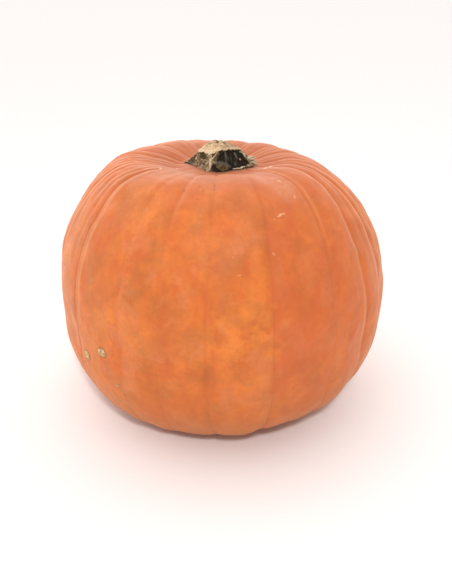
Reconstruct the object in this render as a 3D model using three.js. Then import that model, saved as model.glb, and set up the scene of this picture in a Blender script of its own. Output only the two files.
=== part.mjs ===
// A ribbed orange pumpkin with the stub of its dried stem, standing on its blossom end.
// Millimetres, +Z up. The origin lies on the surface it stands on, under the middle of the
// fruit. The front faces -Y. Angles around the fruit start at the front and grow towards +X.
import * as THREE from 'three';

// Fruit: driving dimensions
const halfWidth = 120;
const crownRise = 117.5;        // widest level up to the top of the crown's full outline
const baseDrop = 97.5;          // widest level down to the bottom of the base's full outline
const footFlattening = 6;       // how much of the base is pressed flat where it stands
const crownRoundness = 2;       // exponent of the outline: 2 is an ellipse, more is boxier
const crownLopsidedness = 0.23; // roundness taken from the right flank and given to the left
const lopsidedBeyond = 96;      // full only this far from the middle, none at the stem
const baseRoundness = 3.15;
const baseLopsidedness = 0.45;
const hollowDepth = 32.5;       // the bowl in the crown that the stem stands in
const hollowRadius = 60;
const pitDepth = 6;             // the hollow sinks this much more around the stem
const pitRadius = 45;
const crownShift = { x: 4.5, y: 0 };
const hollowShift = { x: -7.5, y: 2.5 };
const baseShift = { x: 3.5, y: 0 };
const crownTilt = { x: 0.021, y: -0.059 };
const seatRadius = 31;          // plain disc under the stem
const bowlRadius = 54;          // shallow bowl in the base, inside the flat ring it stands on
const bowlDepth = 5;
const blossomRadius = 12;       // small dimple where the flower was
const blossomDepth = 3;
const grooveDepth = 3.4;        // the deepest groove between two ribs
const quietGroove = 0.4;        // share of that depth left at the widest level
const baseGroove = 0.8;         // and on the base
const ribSharpness = 0.7;       // below 1 the ribs are full and the grooves are narrow

// Stem: driving dimensions
const stemFlare = 1.3;          // how quickly the foot spreads
const facetHollow = 0.09;       // how far a facet 90 degrees wide sinks between its ridges
const footFacets = 0.5;         // share of that hollow left at the foot
const fullFacetsFrom = 0.5;     // share of the stem's height where the facets are full
const cutMiddle = 14;           // height of the torn top's middle over the seat
const seatGap = 0.6;

// How the grooves change between two degrees of latitude, or between two radii
const leanOnCrown = [15, 70];
const leanOnBase = [5, 45];
const deepenOnCrown = [10, 60];
const deepenOnBase = [0, 40];
const fadeAtSeat = [seatRadius, 45];
const fadeAtFoot = [45, 85];

// Grooves between the ribs: degrees around the widest level, how far the groove leans on the
// crown and on the base, and its share of the groove depth
const grooves = [
  { at: -155, crownLean: 0, baseLean: 0, share: 0.5 },
  { at: -133, crownLean: 0, baseLean: 2, share: 0.5 },
  { at: -114, crownLean: 0, baseLean: 3, share: 0.6 },
  { at: -102, crownLean: 0, baseLean: 4, share: 0.5 },
  { at: -80, crownLean: 0, baseLean: 5, share: 0.7 },
  { at: -56, crownLean: -1, baseLean: 6, share: 0.8 },
  { at: -34, crownLean: 1, baseLean: 3, share: 0.3 },
  { at: -21, crownLean: 0, baseLean: 2, share: 0.3 },
  { at: -5, crownLean: 0, baseLean: 2, share: 0.4 },
  { at: 16, crownLean: 1, baseLean: -2, share: 0.5 },
  { at: 37, crownLean: 6, baseLean: -1, share: 0.4 },
  { at: 55, crownLean: 7, baseLean: -3, share: 0.5 },
  { at: 70, crownLean: 6, baseLean: -5, share: 0.8 },
  { at: 93, crownLean: 2, baseLean: -5, share: 0.8 },
  { at: 117, crownLean: 1, baseLean: -3, share: 0.6 },
  { at: 139, crownLean: 0, baseLean: -2, share: 0.5 },
  { at: 160, crownLean: 0, baseLean: 0, share: 0.5 },
  { at: 182, crownLean: 0, baseLean: 0, share: 0.5 },
];

// Broad swells and dents: degrees around the fruit and of latitude, how broad they are each way
// in degrees, and how far the skin moves out or in
const swells = [
  { at: -90, level: 26, wide: 40, tall: 13, out: -2.6 },
  { at: -90, level: -10, wide: 40, tall: 14, out: 2.8 },
  { at: 42, level: -36, wide: 34, tall: 18, out: 4.5 },
  { at: 160, level: 52, wide: 55, tall: 18, out: -3.4 },
  { at: -140, level: 50, wide: 28, tall: 14, out: 1.4 },
  { at: 92, level: -4, wide: 35, tall: 16, out: 1.8 },
  { at: -48, level: -40, wide: 20, tall: 14, out: 1.0 },
];
const swellOnCrown = [seatRadius, 60];
const swellOnBase = [65, 92];

// Ridges of the stem: degrees around it, how far they reach out at the foot and at the top, and
// how high the edge of the torn top is there
const stemRidges = [
  { at: -150, foot: 22.0, top: 14.0, height: 12.0 },
  { at: -107, foot: 26.5, top: 14.0, height: 10.0 },
  { at: -72, foot: 21.0, top: 15.0, height: 10.5 },
  { at: -22, foot: 25.5, top: 14.5, height: 12.8 },
  { at: 60, foot: 26.0, top: 15.5, height: 13.4 },
  { at: 100, foot: 23.5, top: 14.5, height: 12.5 },
  { at: 140, foot: 22.0, top: 14.0, height: 12.5 },
];

// Fineness of the meshes
const degreesPerFruitColumn = 4.6;
const degreesPerStemColumn = 11;
const crownRows = 11;
const baseRows = 8;
const baseRowCrowding = 1.5;    // packs the rows of the base closer near the widest level
const baseRowsEnd = 50;         // degrees of latitude where the ring list of the foot takes over
const footRings = [68, 58, 44, 28, blossomRadius, blossomRadius / 2];
const stemRows = 6;
const cutRings = [0.8, 0.45];
const undersideRings = [0.5];

const turn = 360;
const right = 90;
const radians = THREE.MathUtils.degToRad;
const mix = THREE.MathUtils.lerp;
const smoothstep = THREE.MathUtils.smoothstep;

// Splits the way from each edge to the next into columns: edge number and share of the way
function columnsBetween(edges, degreesPerColumn) {
  const columns = [];
  edges.forEach((edge, index) => {
    const next = index + 1 < edges.length ? edges[index + 1] : edges[0] + turn;
    const count = Math.max(3, Math.round((next - edge) / degreesPerColumn));
    for (let step = 0; step < count; step += 1) {
      columns.push({ index, along: step / count, span: next - edge });
    }
  });
  return columns;
}

// A closed mesh from a pole, rings of equal length and a second pole, faces pointing out
// when the first pole is the lowest point and the rings run anticlockwise seen from above
function closedSurface(firstPole, rings, lastPole) {
  const width = rings[0].length;
  const points = [firstPole, ...rings.flat(), lastPole];
  const last = points.length - 1;
  const indices = [];
  for (let column = 0; column < width; column += 1) {
    const next = (column + 1) % width;
    indices.push(0, 1 + next, 1 + column);
    for (let row = 0; row + 1 < rings.length; row += 1) {
      const low = 1 + row * width;
      const high = low + width;
      indices.push(low + column, low + next, high + next);
      indices.push(low + column, high + next, high + column);
    }
    const top = 1 + (rings.length - 1) * width;
    indices.push(top + column, top + next, last);
  }
  const geometry = new THREE.BufferGeometry().setFromPoints(points);
  geometry.setIndex(indices);
  geometry.computeVertexNormals();
  return geometry;
}

// Height of the fruit's smooth skin over its widest level, before the grooves
function crownHeight(radius, side) {
  const reach = Math.max(radius, seatRadius);
  const lopsidedness = crownLopsidedness * smoothstep(reach, seatRadius, lopsidedBeyond);
  const roundness = crownRoundness - lopsidedness * side;
  const share = Math.pow(reach / halfWidth, roundness);
  const rimLeftover = Math.exp(-((halfWidth / hollowRadius) ** 2));
  const hollow = (Math.exp(-((reach / hollowRadius) ** 2)) - rimLeftover) / (1 - rimLeftover);
  const pit = Math.exp(-((reach / pitRadius) ** 2)) * (1 - reach / halfWidth);
  return crownRise * Math.pow(1 - share, 1 / roundness) - hollowDepth * hollow - pitDepth * pit;
}

function baseHeight(radius, side) {
  const roundness = baseRoundness - baseLopsidedness * side;
  const share = Math.pow(radius / halfWidth, roundness);
  return -baseDrop * Math.pow(1 - share, 1 / roundness);
}

// Height of the foot: flat, with a bowl in its middle
function footHeight(radius) {
  const inside = Math.max(0, 1 - (radius / bowlRadius) ** 2);
  return footFlattening - baseDrop + bowlDepth * Math.pow(inside, 1.5);
}

// Height inside the disc under the stem: a shallow cone down to the disc's middle
function seatHeight(radius, side) {
  const middle = (crownHeight(seatRadius, 1) + crownHeight(seatRadius, -1)) / 2;
  return mix(middle, crownHeight(seatRadius, side), Math.min(radius / seatRadius, 1));
}

// A point of the crown's smooth skin
function crownPoint(radius, angle) {
  const side = Math.sin(angle);
  const poleward = 1 - (Math.max(radius, seatRadius) / halfWidth) ** 2;
  const inHollow = Math.exp(-((Math.max(radius, seatRadius) / hollowRadius) ** 2)) * poleward;
  const x = radius * Math.sin(angle) + crownShift.x * poleward + hollowShift.x * inHollow;
  const y = -radius * Math.cos(angle) + crownShift.y * poleward + hollowShift.y * inHollow;
  const height = radius < seatRadius ? seatHeight(radius, side) : crownHeight(radius, side);
  return new THREE.Vector3(x, y, height + (crownTilt.x * x + crownTilt.y * y) * poleward);
}

// A point of the base's smooth skin
function basePoint(radius, angle) {
  const poleward = 1 - (radius / halfWidth) ** 2;
  const x = radius * Math.sin(angle) + baseShift.x * poleward;
  const y = -radius * Math.cos(angle) + baseShift.y * poleward;
  return new THREE.Vector3(x, y, baseHeight(radius, Math.sin(angle)));
}

// Where a groove runs at a latitude, in degrees around the fruit
function grooveAngle(index, latitude) {
  const groove = grooves[index % grooves.length];
  const wrap = index >= grooves.length ? turn : 0;
  const lean = latitude > 0
    ? groove.crownLean * smoothstep(latitude, ...leanOnCrown)
    : groove.baseLean * smoothstep(-latitude, ...leanOnBase);
  return groove.at + wrap + lean;
}

// How deep the skin sinks beside a groove: nothing on the rib's back, all of it in the groove,
// less at the widest level, and nothing on the foot and under the stem
function grooveSink(column, latitude, radius) {
  const share = mix(
    grooves[column.index].share,
    grooves[(column.index + 1) % grooves.length].share,
    column.along,
  );
  const back = Math.pow(Math.sin(Math.PI * column.along), ribSharpness);
  const strength = latitude > 0
    ? mix(quietGroove, 1, smoothstep(latitude, ...deepenOnCrown)) * smoothstep(radius, ...fadeAtSeat)
    : mix(quietGroove, baseGroove, smoothstep(-latitude, ...deepenOnBase))
      * smoothstep(radius, ...fadeAtFoot);
  return grooveDepth * share * strength * (1 - back);
}

// How far the broad swells and dents move the skin out, nothing under the stem and on the foot
function swellOut(latitude, degrees, radius) {
  const fade = smoothstep(radius, ...(latitude > 0 ? swellOnCrown : swellOnBase));
  return fade * swells.reduce((sum, swell) => {
    const around = THREE.MathUtils.euclideanModulo(degrees - swell.at + turn / 2, turn) - turn / 2;
    const far = (around / swell.wide) ** 2 + ((latitude - swell.level) / swell.tall) ** 2;
    return sum + swell.out * Math.exp(-far);
  }, 0);
}

// A point of the fruit's skin. A swell of the base moves it out but not down
function fruitPoint(column, latitude, radius) {
  const degrees = mix(
    grooveAngle(column.index, latitude),
    grooveAngle(column.index + 1, latitude),
    column.along,
  );
  const angle = radians(degrees);
  const point = latitude > 0 ? crownPoint(radius, angle) : basePoint(radius, angle);
  const swell = 1 + swellOut(latitude, degrees, radius) / halfWidth;
  point.multiply(new THREE.Vector3(swell, swell, latitude > 0 ? swell : 1));
  const sink = grooveSink(column, latitude, radius);
  point.multiplyScalar(1 - sink / halfWidth);
  point.z = Math.max(point.z, footHeight(radius));
  if (latitude < 0 && radius < blossomRadius) {
    point.z += blossomDepth * (1 - (radius / blossomRadius) ** 2);
  }
  return point;
}

function fruitGeometry() {
  const columns = columnsBetween(grooves.map((groove) => groove.at), degreesPerFruitColumn);
  const ring = (latitude, radius) => columns.map((c) => fruitPoint(c, latitude, radius));
  const rings = [];
  for (const radius of footRings.toReversed()) {
    const latitude = -THREE.MathUtils.radToDeg(Math.acos(radius / halfWidth));
    rings.push(ring(latitude, radius));
  }
  for (let row = baseRows; row > 0; row -= 1) {
    const latitude = -baseRowsEnd * Math.pow(row / baseRows, baseRowCrowding);
    rings.push(ring(latitude, halfWidth * Math.cos(radians(latitude))));
  }
  for (let row = 0; row < crownRows; row += 1) {
    const latitude = right * (row / crownRows);
    rings.push(ring(latitude, halfWidth * Math.cos(radians(latitude))));
  }
  const lowPole = new THREE.Vector3(baseShift.x, baseShift.y, footHeight(0) + blossomDepth);
  return closedSurface(lowPole, rings, crownPoint(0, 0));
}

// The stem's outline at one column: full at a ridge, sunk between two of them, less so at
// the foot. Up is the share of the stem's height
function stemSection(column, up) {
  const full = mix(footFacets, 1, smoothstep(up, 0, fullFacetsFrom));
  const hollow = facetHollow * full * (column.span / right) ** 2;
  return 1 - hollow * Math.sin(Math.PI * column.along);
}

// A value that goes smoothly from one ridge of the stem to the next
function betweenRidges(column, key) {
  const next = stemRidges[(column.index + 1) % stemRidges.length];
  return mix(stemRidges[column.index][key], next[key], smoothstep(column.along, 0, 1));
}

// The stem, around its own axis, with its underside following the disc that it stands on
function stemGeometry(axis) {
  const edges = stemRidges.map((ridge) => ridge.at);
  const columns = columnsBetween(edges, degreesPerStemColumn).map((column) => ({
    angle: radians(edges[column.index] + column.along * column.span),
    foot: betweenRidges(column, 'foot'),
    top: betweenRidges(column, 'top'),
    height: betweenRidges(column, 'height'),
    section: (up) => stemSection(column, up),
  }));
  const seatAt = (radius, angle) => seatGap + crownPoint(radius, angle).z - axis.z;
  const place = (radius, angle, z) => (
    new THREE.Vector3(radius * Math.sin(angle), -radius * Math.cos(angle), z)
  );
  const rings = [];
  for (const share of undersideRings) {
    rings.push(columns.map(({ angle, foot, section }) => {
      const radius = share * foot * section(0);
      return place(radius, angle, seatAt(radius, angle));
    }));
  }
  for (let row = 0; row <= stemRows; row += 1) {
    const up = row / stemRows;
    rings.push(columns.map(({ angle, foot, top, height, section }) => {
      const radius = mix(top, foot, Math.pow(1 - up, stemFlare)) * section(up);
      return place(radius, angle, mix(seatAt(foot * section(0), angle), height, up));
    }));
  }
  for (const share of cutRings) {
    rings.push(columns.map(({ angle, top, height, section }) => (
      place(share * top * section(1), angle, mix(cutMiddle, height, share * share))
    )));
  }
  const low = new THREE.Vector3(0, 0, seatGap);
  const high = new THREE.Vector3(0, 0, cutMiddle);
  return closedSurface(low, rings, high);
}

const rind = new THREE.MeshStandardMaterial({ color: 0xe8793c, roughness: 0.5, metalness: 0 });
const driedStem = new THREE.MeshStandardMaterial({ color: 0x8a7a58, roughness: 0.9, metalness: 0 });

const fruit = new THREE.Mesh(fruitGeometry(), rind);
fruit.name = 'fruit';

const seatMiddle = crownPoint(0, 0);
const stem = new THREE.Mesh(stemGeometry(seatMiddle), driedStem);
stem.name = 'stem';
stem.position.copy(seatMiddle);

// The widest level is the middle of the shapes above: the whole is lifted onto its foot and
// centred over the origin
const pumpkin = new THREE.Group();
fruit.geometry.computeBoundingBox();
const middle = fruit.geometry.boundingBox.getCenter(new THREE.Vector3());
pumpkin.position.set(-middle.x, -middle.y, baseDrop - footFlattening);
pumpkin.add(fruit, stem);

export default pumpkin;
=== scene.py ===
"""Looks of a ribbed orange pumpkin with the stub of its dried stem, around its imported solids.

The fruit's skin and the stem are closed numpy surfaces in metres. The fruit faces -Y, angles
around it start at the front and grow towards +X, and latitudes run from -90 at the blossom end
to 90 at the stem.
"""
import logging
import math
from dataclasses import dataclass, field
from enum import Enum
from typing import Callable, Dict, Optional, Sequence, Tuple, Union

import bpy
import numpy as np
from mathutils import Euler, Matrix, Vector


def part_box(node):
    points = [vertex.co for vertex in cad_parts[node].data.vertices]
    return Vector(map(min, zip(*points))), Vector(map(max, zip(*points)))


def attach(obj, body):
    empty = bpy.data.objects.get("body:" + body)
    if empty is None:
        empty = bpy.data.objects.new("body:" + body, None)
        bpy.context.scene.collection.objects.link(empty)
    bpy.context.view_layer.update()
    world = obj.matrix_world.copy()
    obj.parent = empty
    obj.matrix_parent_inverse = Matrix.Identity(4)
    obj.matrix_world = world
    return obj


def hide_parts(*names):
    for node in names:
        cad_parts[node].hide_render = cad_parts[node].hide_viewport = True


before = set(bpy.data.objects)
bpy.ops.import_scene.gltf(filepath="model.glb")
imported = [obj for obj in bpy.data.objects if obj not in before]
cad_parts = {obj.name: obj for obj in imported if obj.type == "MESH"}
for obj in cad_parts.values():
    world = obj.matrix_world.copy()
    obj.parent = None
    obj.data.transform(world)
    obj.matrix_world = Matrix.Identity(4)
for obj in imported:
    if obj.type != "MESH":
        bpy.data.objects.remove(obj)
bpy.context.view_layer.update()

LOG = logging.getLogger("pumpkin")
BODY = "root"
MM = 0.001
FINE_STEPS = 6001

Colour = Tuple[float, float, float]
Socket = bpy.types.NodeSocket
Feed = Union[Socket, float, Sequence[float]]
Numbers = Tuple[float, ...]
Layers = Dict[str, np.ndarray]


def smooth_step(value: np.ndarray, start: float, end: float) -> np.ndarray:
    """Goes from 0 at start to 1 at end with level ends: 3t^2 - 2t^3 of the clipped share t.

    Args:
        value: The values to look at.
        start: Where the result is still 0.
        end: Where the result is 1.

    Returns:
        The share for each value.
    """
    share = np.clip((value - start) / (end - start), 0.0, 1.0)
    return share * share * (3.0 - 2.0 * share)


def blend(first: np.ndarray, second: np.ndarray, share: np.ndarray) -> np.ndarray:
    """Mixes two values: first where the share is 0, second where it is 1."""
    return first + (second - first) * share


def hump(distance: np.ndarray, width: float) -> np.ndarray:
    """A bell of height 1: e to the power of minus the square of distance over width."""
    return np.exp(-((distance / width) ** 2))


def spaced(count: int, start: float, end: float, weight: Callable[[np.ndarray], np.ndarray],
           closed: bool) -> np.ndarray:
    """Places that lie closer together where a weight is larger.

    The weight is summed along the way, and the places are where that sum passes even shares.

    Args:
        count: How many places.
        start: First end of the range.
        end: Second end of the range.
        weight: How densely the places lie, for an array of positions.
        closed: True where the end is the start again, so that it is left out.

    Returns:
        The places, in order.
    """
    fine = np.linspace(start, end, FINE_STEPS)
    dense = weight(fine)
    total = np.concatenate([[0.0], np.cumsum((dense[1:] + dense[:-1]) / 2.0)])
    return np.interp(np.linspace(0.0, total[-1], count, endpoint=not closed), total, fine)


@dataclass(frozen=True)
class Ripple:
    """A smooth random field in space: a sum of plane waves with random directions and phases.

    Attributes:
        length: Mean wavelength in metres.
        seed: Seed of the random directions.
        waves: How many waves are summed.
    """

    length: float
    seed: int
    waves: int = 26

    def at(self, points: np.ndarray) -> np.ndarray:
        """The field's value, about -2 to 2 with a mean square of 1.

        Args:
            points: Places, with the coordinates in the last axis.

        Returns:
            One value for each place.
        """
        rng = np.random.default_rng(self.seed)
        ways = rng.normal(size=(self.waves, points.shape[-1]))
        ways /= np.linalg.norm(ways, axis=1, keepdims=True)
        lengths = self.length * rng.uniform(0.6, 1.6, (self.waves, 1))
        phases = rng.uniform(0.0, 2.0 * math.pi, self.waves)
        waves = np.sin(points @ (2.0 * math.pi * ways / lengths).T + phases)
        return waves.sum(axis=-1) * math.sqrt(2.0 / self.waves)


def half_turn(angle: np.ndarray) -> np.ndarray:
    """The same angle, between -180 and 180 degrees."""
    return (angle + 180.0) % 360.0 - 180.0


def add_object(name: str, data: bpy.types.ID) -> bpy.types.Object:
    """Makes an object and links it to the scene.

    Args:
        name: Its name.
        data: Its mesh, camera or lamp.

    Returns:
        The new object.
    """
    thing = bpy.data.objects.new(name, data)
    bpy.context.collection.objects.link(thing)
    return thing


def shell_faces(rings: int, width: int, start: int = 0) -> Tuple[np.ndarray, np.ndarray]:
    """Faces of a closed shell of rings between two poles, all pointing outwards.

    The places are numbered from start: the low pole, the rings in order, the high pole.

    Args:
        rings: How many rings.
        width: How many places in a ring.
        start: Number of the low pole.

    Returns:
        The quads between the rings, and the triangles at both poles.
    """
    here = np.arange(width)
    after = (here + 1) % width
    row = start + 1 + width * np.arange(rings - 1)[:, None]
    quads = np.stack([row + here, row + after, row + width + after, row + width + here], -1)
    last = start + 1 + width * (rings - 1)
    low = np.stack([np.full(width, start), start + 1 + after, start + 1 + here], -1)
    high = np.stack([last + here, last + after, np.full(width, last + width)], -1)
    return quads.reshape(-1, 4), np.concatenate([low, high])


def closed_grid_mesh(name: str, rings: np.ndarray, low: np.ndarray, high: np.ndarray,
                     traits: Layers) -> bpy.types.Object:
    """Makes one closed mesh of rings between two poles, with faces that point outwards.

    The rings run from the low pole to the high one, each anticlockwise seen from above.

    Args:
        name: Name of the new object.
        rings: Places, as rings by columns by coordinates.
        low: Place of the first pole.
        high: Place of the last pole.
        traits: Values to keep on the mesh by name, as rings by columns.

    Returns:
        The new object, linked to the scene.
    """
    ring_count, width = rings.shape[:2]
    places = np.concatenate([low[None], rings.reshape(-1, 3), high[None]])
    quads, caps = shell_faces(ring_count, width)
    corners = np.concatenate([quads.ravel(), caps.ravel()])
    sizes = np.concatenate([np.full(len(quads), 4), np.full(len(caps), 3)])
    starts = np.concatenate([[0], np.cumsum(sizes)[:-1]])
    mesh = bpy.data.meshes.new(name)
    mesh.vertices.add(len(places))
    mesh.vertices.foreach_set("co", places.astype(np.float32).ravel())
    mesh.loops.add(len(corners))
    mesh.loops.foreach_set("vertex_index", corners.astype(np.int32))
    mesh.polygons.add(len(sizes))
    mesh.polygons.foreach_set("loop_start", starts.astype(np.int32))
    mesh.polygons.foreach_set("use_smooth", np.ones(len(sizes), bool))
    mesh.update(calc_edges=True)
    for trait, values in traits.items():
        at_poles = np.concatenate([[values[0].mean()], values.ravel(), [values[-1].mean()]])
        store = mesh.attributes.new(trait, "FLOAT", "POINT")
        store.data.foreach_set("value", at_poles.astype(np.float32))
    return add_object(name, mesh)


def grid_normals(points: np.ndarray) -> np.ndarray:
    """Outward unit normals of a grid whose columns close on themselves.

    They are the cross product of the step to the next column and the step to the next ring.

    Args:
        points: Places, as rings by columns by coordinates.

    Returns:
        One unit vector for each place.
    """
    around = np.roll(points, -1, axis=1) - np.roll(points, 1, axis=1)
    upward = np.gradient(points, axis=0)
    normals = np.cross(around, upward)
    return normals / np.maximum(np.linalg.norm(normals, axis=-1, keepdims=True), 1e-12)


class Shader:
    """One node material, built from top to bottom by short calls that return sockets."""

    def __init__(self, name: str) -> None:
        """Makes an empty node material of that name.

        Args:
            name: Name of the material.
        """
        self.material = bpy.data.materials.new(name)
        self.material.use_nodes = True
        self.tree = self.material.node_tree
        self.tree.nodes.clear()
        self.place = self.add("ShaderNodeTexCoord").outputs["Object"]

    def add(self, kind: str, **settings: object) -> bpy.types.Node:
        """Adds a node of a kind and sets its properties.

        Args:
            kind: The node's type.
            **settings: Its properties.

        Returns:
            The new node.
        """
        node = self.tree.nodes.new(kind)
        for key, value in settings.items():
            setattr(node, key, value)
        return node

    def feed(self, socket: Socket, value: Feed) -> None:
        """Links a socket to another one, or gives it a fixed value.

        Args:
            socket: The input.
            value: What it gets.
        """
        if isinstance(value, bpy.types.NodeSocket):
            self.tree.links.new(value, socket)
        elif isinstance(value, (int, float)):
            socket.default_value = value
        elif socket.type == "RGBA":
            socket.default_value = (*value[:3], 1.0)
        else:
            socket.default_value = tuple(value)

    def trait(self, name: str, share: float = 1.0) -> Socket:
        """Reads a value that is kept on the mesh, and takes a share of it."""
        value = self.add("ShaderNodeAttribute", attribute_name=name).outputs["Fac"]
        return value if share == 1.0 else self.times(value, share)

    def vector(self, kind: str, *values: Feed) -> bpy.types.Node:
        """Adds one piece of vector arithmetic.

        Args:
            kind: Its kind, by its name in the shader.
            *values: Its inputs, in order.

        Returns:
            The node.
        """
        node = self.add("ShaderNodeVectorMath", operation=kind)
        for socket, value in zip(node.inputs, values):
            self.feed(socket, value)
        return node

    def stretched(self, scale: Sequence[float]) -> Socket:
        """Object coordinates, multiplied along each axis."""
        return self.vector("MULTIPLY", self.place, scale).outputs[0]

    def moved(self, step: float) -> Socket:
        """Object coordinates, moved by the same step along each axis, for a pattern of its own."""
        return self.vector("ADD", self.place, (step, step, step)).outputs[0]

    def ruffled(self, shake: Socket, size: float) -> Socket:
        """Object coordinates, shaken by a coloured noise around where they are.

        Args:
            shake: The coloured noise.
            size: From the least to the most that a place moves.

        Returns:
            The shaken coordinates.
        """
        half = size / 2.0
        shaken = self.vector("MULTIPLY_ADD", shake, (size, size, size), self.place).outputs[0]
        return self.vector("SUBTRACT", shaken, (half, half, half)).outputs[0]

    def noise(self, scale: float, detail: float = 3.0, rough: float = 0.55, warp: float = 0.0,
              place: Optional[Socket] = None, colour: bool = False) -> Socket:
        """Adds a noise texture.

        Args:
            scale: How many patches it has in a metre, about.
            detail: How many finer layers it has.
            rough: How strong those are.
            warp: How much it is bent.
            place: Coordinates to read, if not the object's own.
            colour: True for its colour, not its value.

        Returns:
            The texture's value or colour.
        """
        node = self.add("ShaderNodeTexNoise")
        self.feed(node.inputs["Vector"], place or self.place)
        self.feed(node.inputs["Scale"], scale)
        self.feed(node.inputs["Detail"], detail)
        self.feed(node.inputs["Roughness"], rough)
        self.feed(node.inputs["Distortion"], warp)
        return node.outputs["Color" if colour else "Fac"]

    def cells(self, scale: float) -> Socket:
        """Adds a cell texture.

        Args:
            scale: How many cells it has in a metre, about.

        Returns:
            The distance from each cell's middle.
        """
        node = self.add("ShaderNodeTexVoronoi", feature="F1")
        self.feed(node.inputs["Vector"], self.place)
        self.feed(node.inputs["Scale"], scale)
        return node.outputs["Distance"]

    def window(self, value: Feed, low: float, high: float, to_low: float = 0.0,
               to_high: float = 1.0) -> Socket:
        """Maps low to high onto two results with smooth, clamped ends.

        Args:
            value: What is mapped.
            low: Where the ramp starts.
            high: Where the ramp ends.
            to_low: The result at low.
            to_high: The result at high.

        Returns:
            The result.
        """
        node = self.add("ShaderNodeMapRange", interpolation_type="SMOOTHSTEP")
        for socket, amount in zip(node.inputs, (value, low, high, to_low, to_high)):
            self.feed(socket, amount)
        return node.outputs["Result"]

    def work_out(self, kind: str, first: Feed, second: Feed) -> Socket:
        """Works out one piece of arithmetic, such as MULTIPLY or MAXIMUM.

        Args:
            kind: Its kind, by its name in the shader.
            first: The first one.
            second: The second one.

        Returns:
            The result.
        """
        node = self.add("ShaderNodeMath", operation=kind)
        self.feed(node.inputs[0], first)
        self.feed(node.inputs[1], second)
        return node.outputs[0]

    def times(self, first: Feed, second: Feed) -> Socket:
        """Multiplies two values."""
        return self.work_out("MULTIPLY", first, second)

    def mix(self, share: Feed, first: Feed, second: Feed, kind: str = "MIX") -> Socket:
        """Mixes two colours by a share.

        Args:
            share: How much of the second one shows.
            first: The first one.
            second: The second one.
            kind: Its kind, by its name in the shader.

        Returns:
            The mixed colour.
        """
        node = self.add("ShaderNodeMix", data_type="RGBA", blend_type=kind)
        self.feed(node.inputs[0], share)
        self.feed(node.inputs[6], first)
        self.feed(node.inputs[7], second)
        return node.outputs[2]

    def layers(self, colour: Feed, coats: Sequence[Tuple[Feed, Feed]]) -> Feed:
        """Lays tones over a colour one after the other.

        Args:
            colour: The colour that they lie on.
            coats: How much of each tone shows, and the tone.

        Returns:
            The new colour.
        """
        for share, tone in coats:
            colour = self.mix(share, colour, tone)
        return colour

    def spot(self, mark: "PlacedMark", place: Socket, inner: float, outer: float) -> Socket:
        """A mask that is 1 within one mark's oval and fades out around it.

        Args:
            mark: The mark, with its place, its turn and its half sizes.
            place: Coordinates to measure from, ruffled or not.
            inner: Share of the half sizes where the mask is still full.
            outer: Share of the half sizes where the mask is gone.

        Returns:
            The mask.
        """
        oval = self.add("ShaderNodeMapping", vector_type="TEXTURE")
        self.feed(oval.inputs["Vector"], place)
        self.feed(oval.inputs["Location"], mark.centre)
        self.feed(oval.inputs["Rotation"], mark.turn)
        self.feed(oval.inputs["Scale"], mark.halves)
        far = self.vector("LENGTH", oval.outputs[0]).outputs["Value"]
        return self.window(far, inner, outer, mark.strength, 0.0)

    def all_spots(self, marks: Sequence["PlacedMark"], place: Socket, inner: float,
                  outer: float) -> Socket:
        """The strongest of several marks' masks at each place.

        Args:
            marks: The marks, one at least.
            place: Coordinates to measure from.
            inner: Share of the half sizes where a mask is still full.
            outer: Share of the half sizes where a mask is gone.

        Returns:
            The mask.
        """
        whole = self.spot(marks[0], place, inner, outer)
        for mark in marks[1:]:
            whole = self.work_out("MAXIMUM", whole, self.spot(mark, place, inner, outer))
        return whole

    def bump(self, height: Feed, strength: float, distance: float,
             under: Optional[Socket] = None) -> Socket:
        """Turns a height into a bent normal, on top of another one where given.

        Args:
            height: The height.
            strength: How strongly it shows.
            distance: How high 1 stands, in metres.
            under: A bent normal that it is laid on, if any.

        Returns:
            The bent normal.
        """
        node = self.add("ShaderNodeBump")
        self.feed(node.inputs["Strength"], strength)
        self.feed(node.inputs["Distance"], distance)
        self.feed(node.inputs["Height"], height)
        if under is not None:
            self.feed(node.inputs["Normal"], under)
        return node.outputs[0]

    def finish(self, colour: Feed, rough: Feed, normal: Optional[Socket],
               fixed: Dict[str, Feed]) -> bpy.types.Material:
        """Adds the surface shader and the output.

        Args:
            colour: Base colour.
            rough: Roughness.
            normal: Bent normal, if any.
            fixed: The shader's other inputs, all plain values.

        Returns:
            The finished material.
        """
        skin = self.add("ShaderNodeBsdfPrincipled")
        self.feed(skin.inputs["Base Color"], colour)
        self.feed(skin.inputs["Roughness"], rough)
        if normal is not None:
            self.feed(skin.inputs["Normal"], normal)
        for key, value in fixed.items():
            self.feed(skin.inputs[key], value)
        out = self.add("ShaderNodeOutputMaterial")
        self.tree.links.new(skin.outputs[0], out.inputs["Surface"])
        return self.material


class MarkKind(Enum):
    """What a mark on the rind is."""

    SCAB = "healed corky patch"
    SPECK = "small dark spot"
    SCRATCH = "pale scrape"
    SMUDGE = "soft grey brown stain"
    HAZE = "dull pale wax"
    GLOW = "yellow patch"
    # SHADE marks are painted shade: broad patches that darken the rind.
    SHADE = "broad darker patch"


@dataclass(frozen=True)
class Mark:
    """One mark on the rind.

    Attributes:
        kind: What it is.
        angle: Degrees around the fruit.
        latitude: Degrees of latitude.
        wide: Width in millimetres along the level.
        tall: Height in millimetres along the rib.
        tilt: Degrees that it is turned, anticlockwise from outside.
        strength: How strongly it shows, up to 1.
    """

    kind: MarkKind
    angle: float
    latitude: float
    wide: float
    tall: float
    tilt: float = 0.0
    strength: float = 1.0


@dataclass(frozen=True)
class PlacedMark:
    """A mark's oval in space: its middle, its turn, its half sizes and its strength."""

    centre: Tuple[float, float, float]
    turn: Tuple[float, float, float]
    halves: Tuple[float, float, float]
    strength: float


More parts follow.
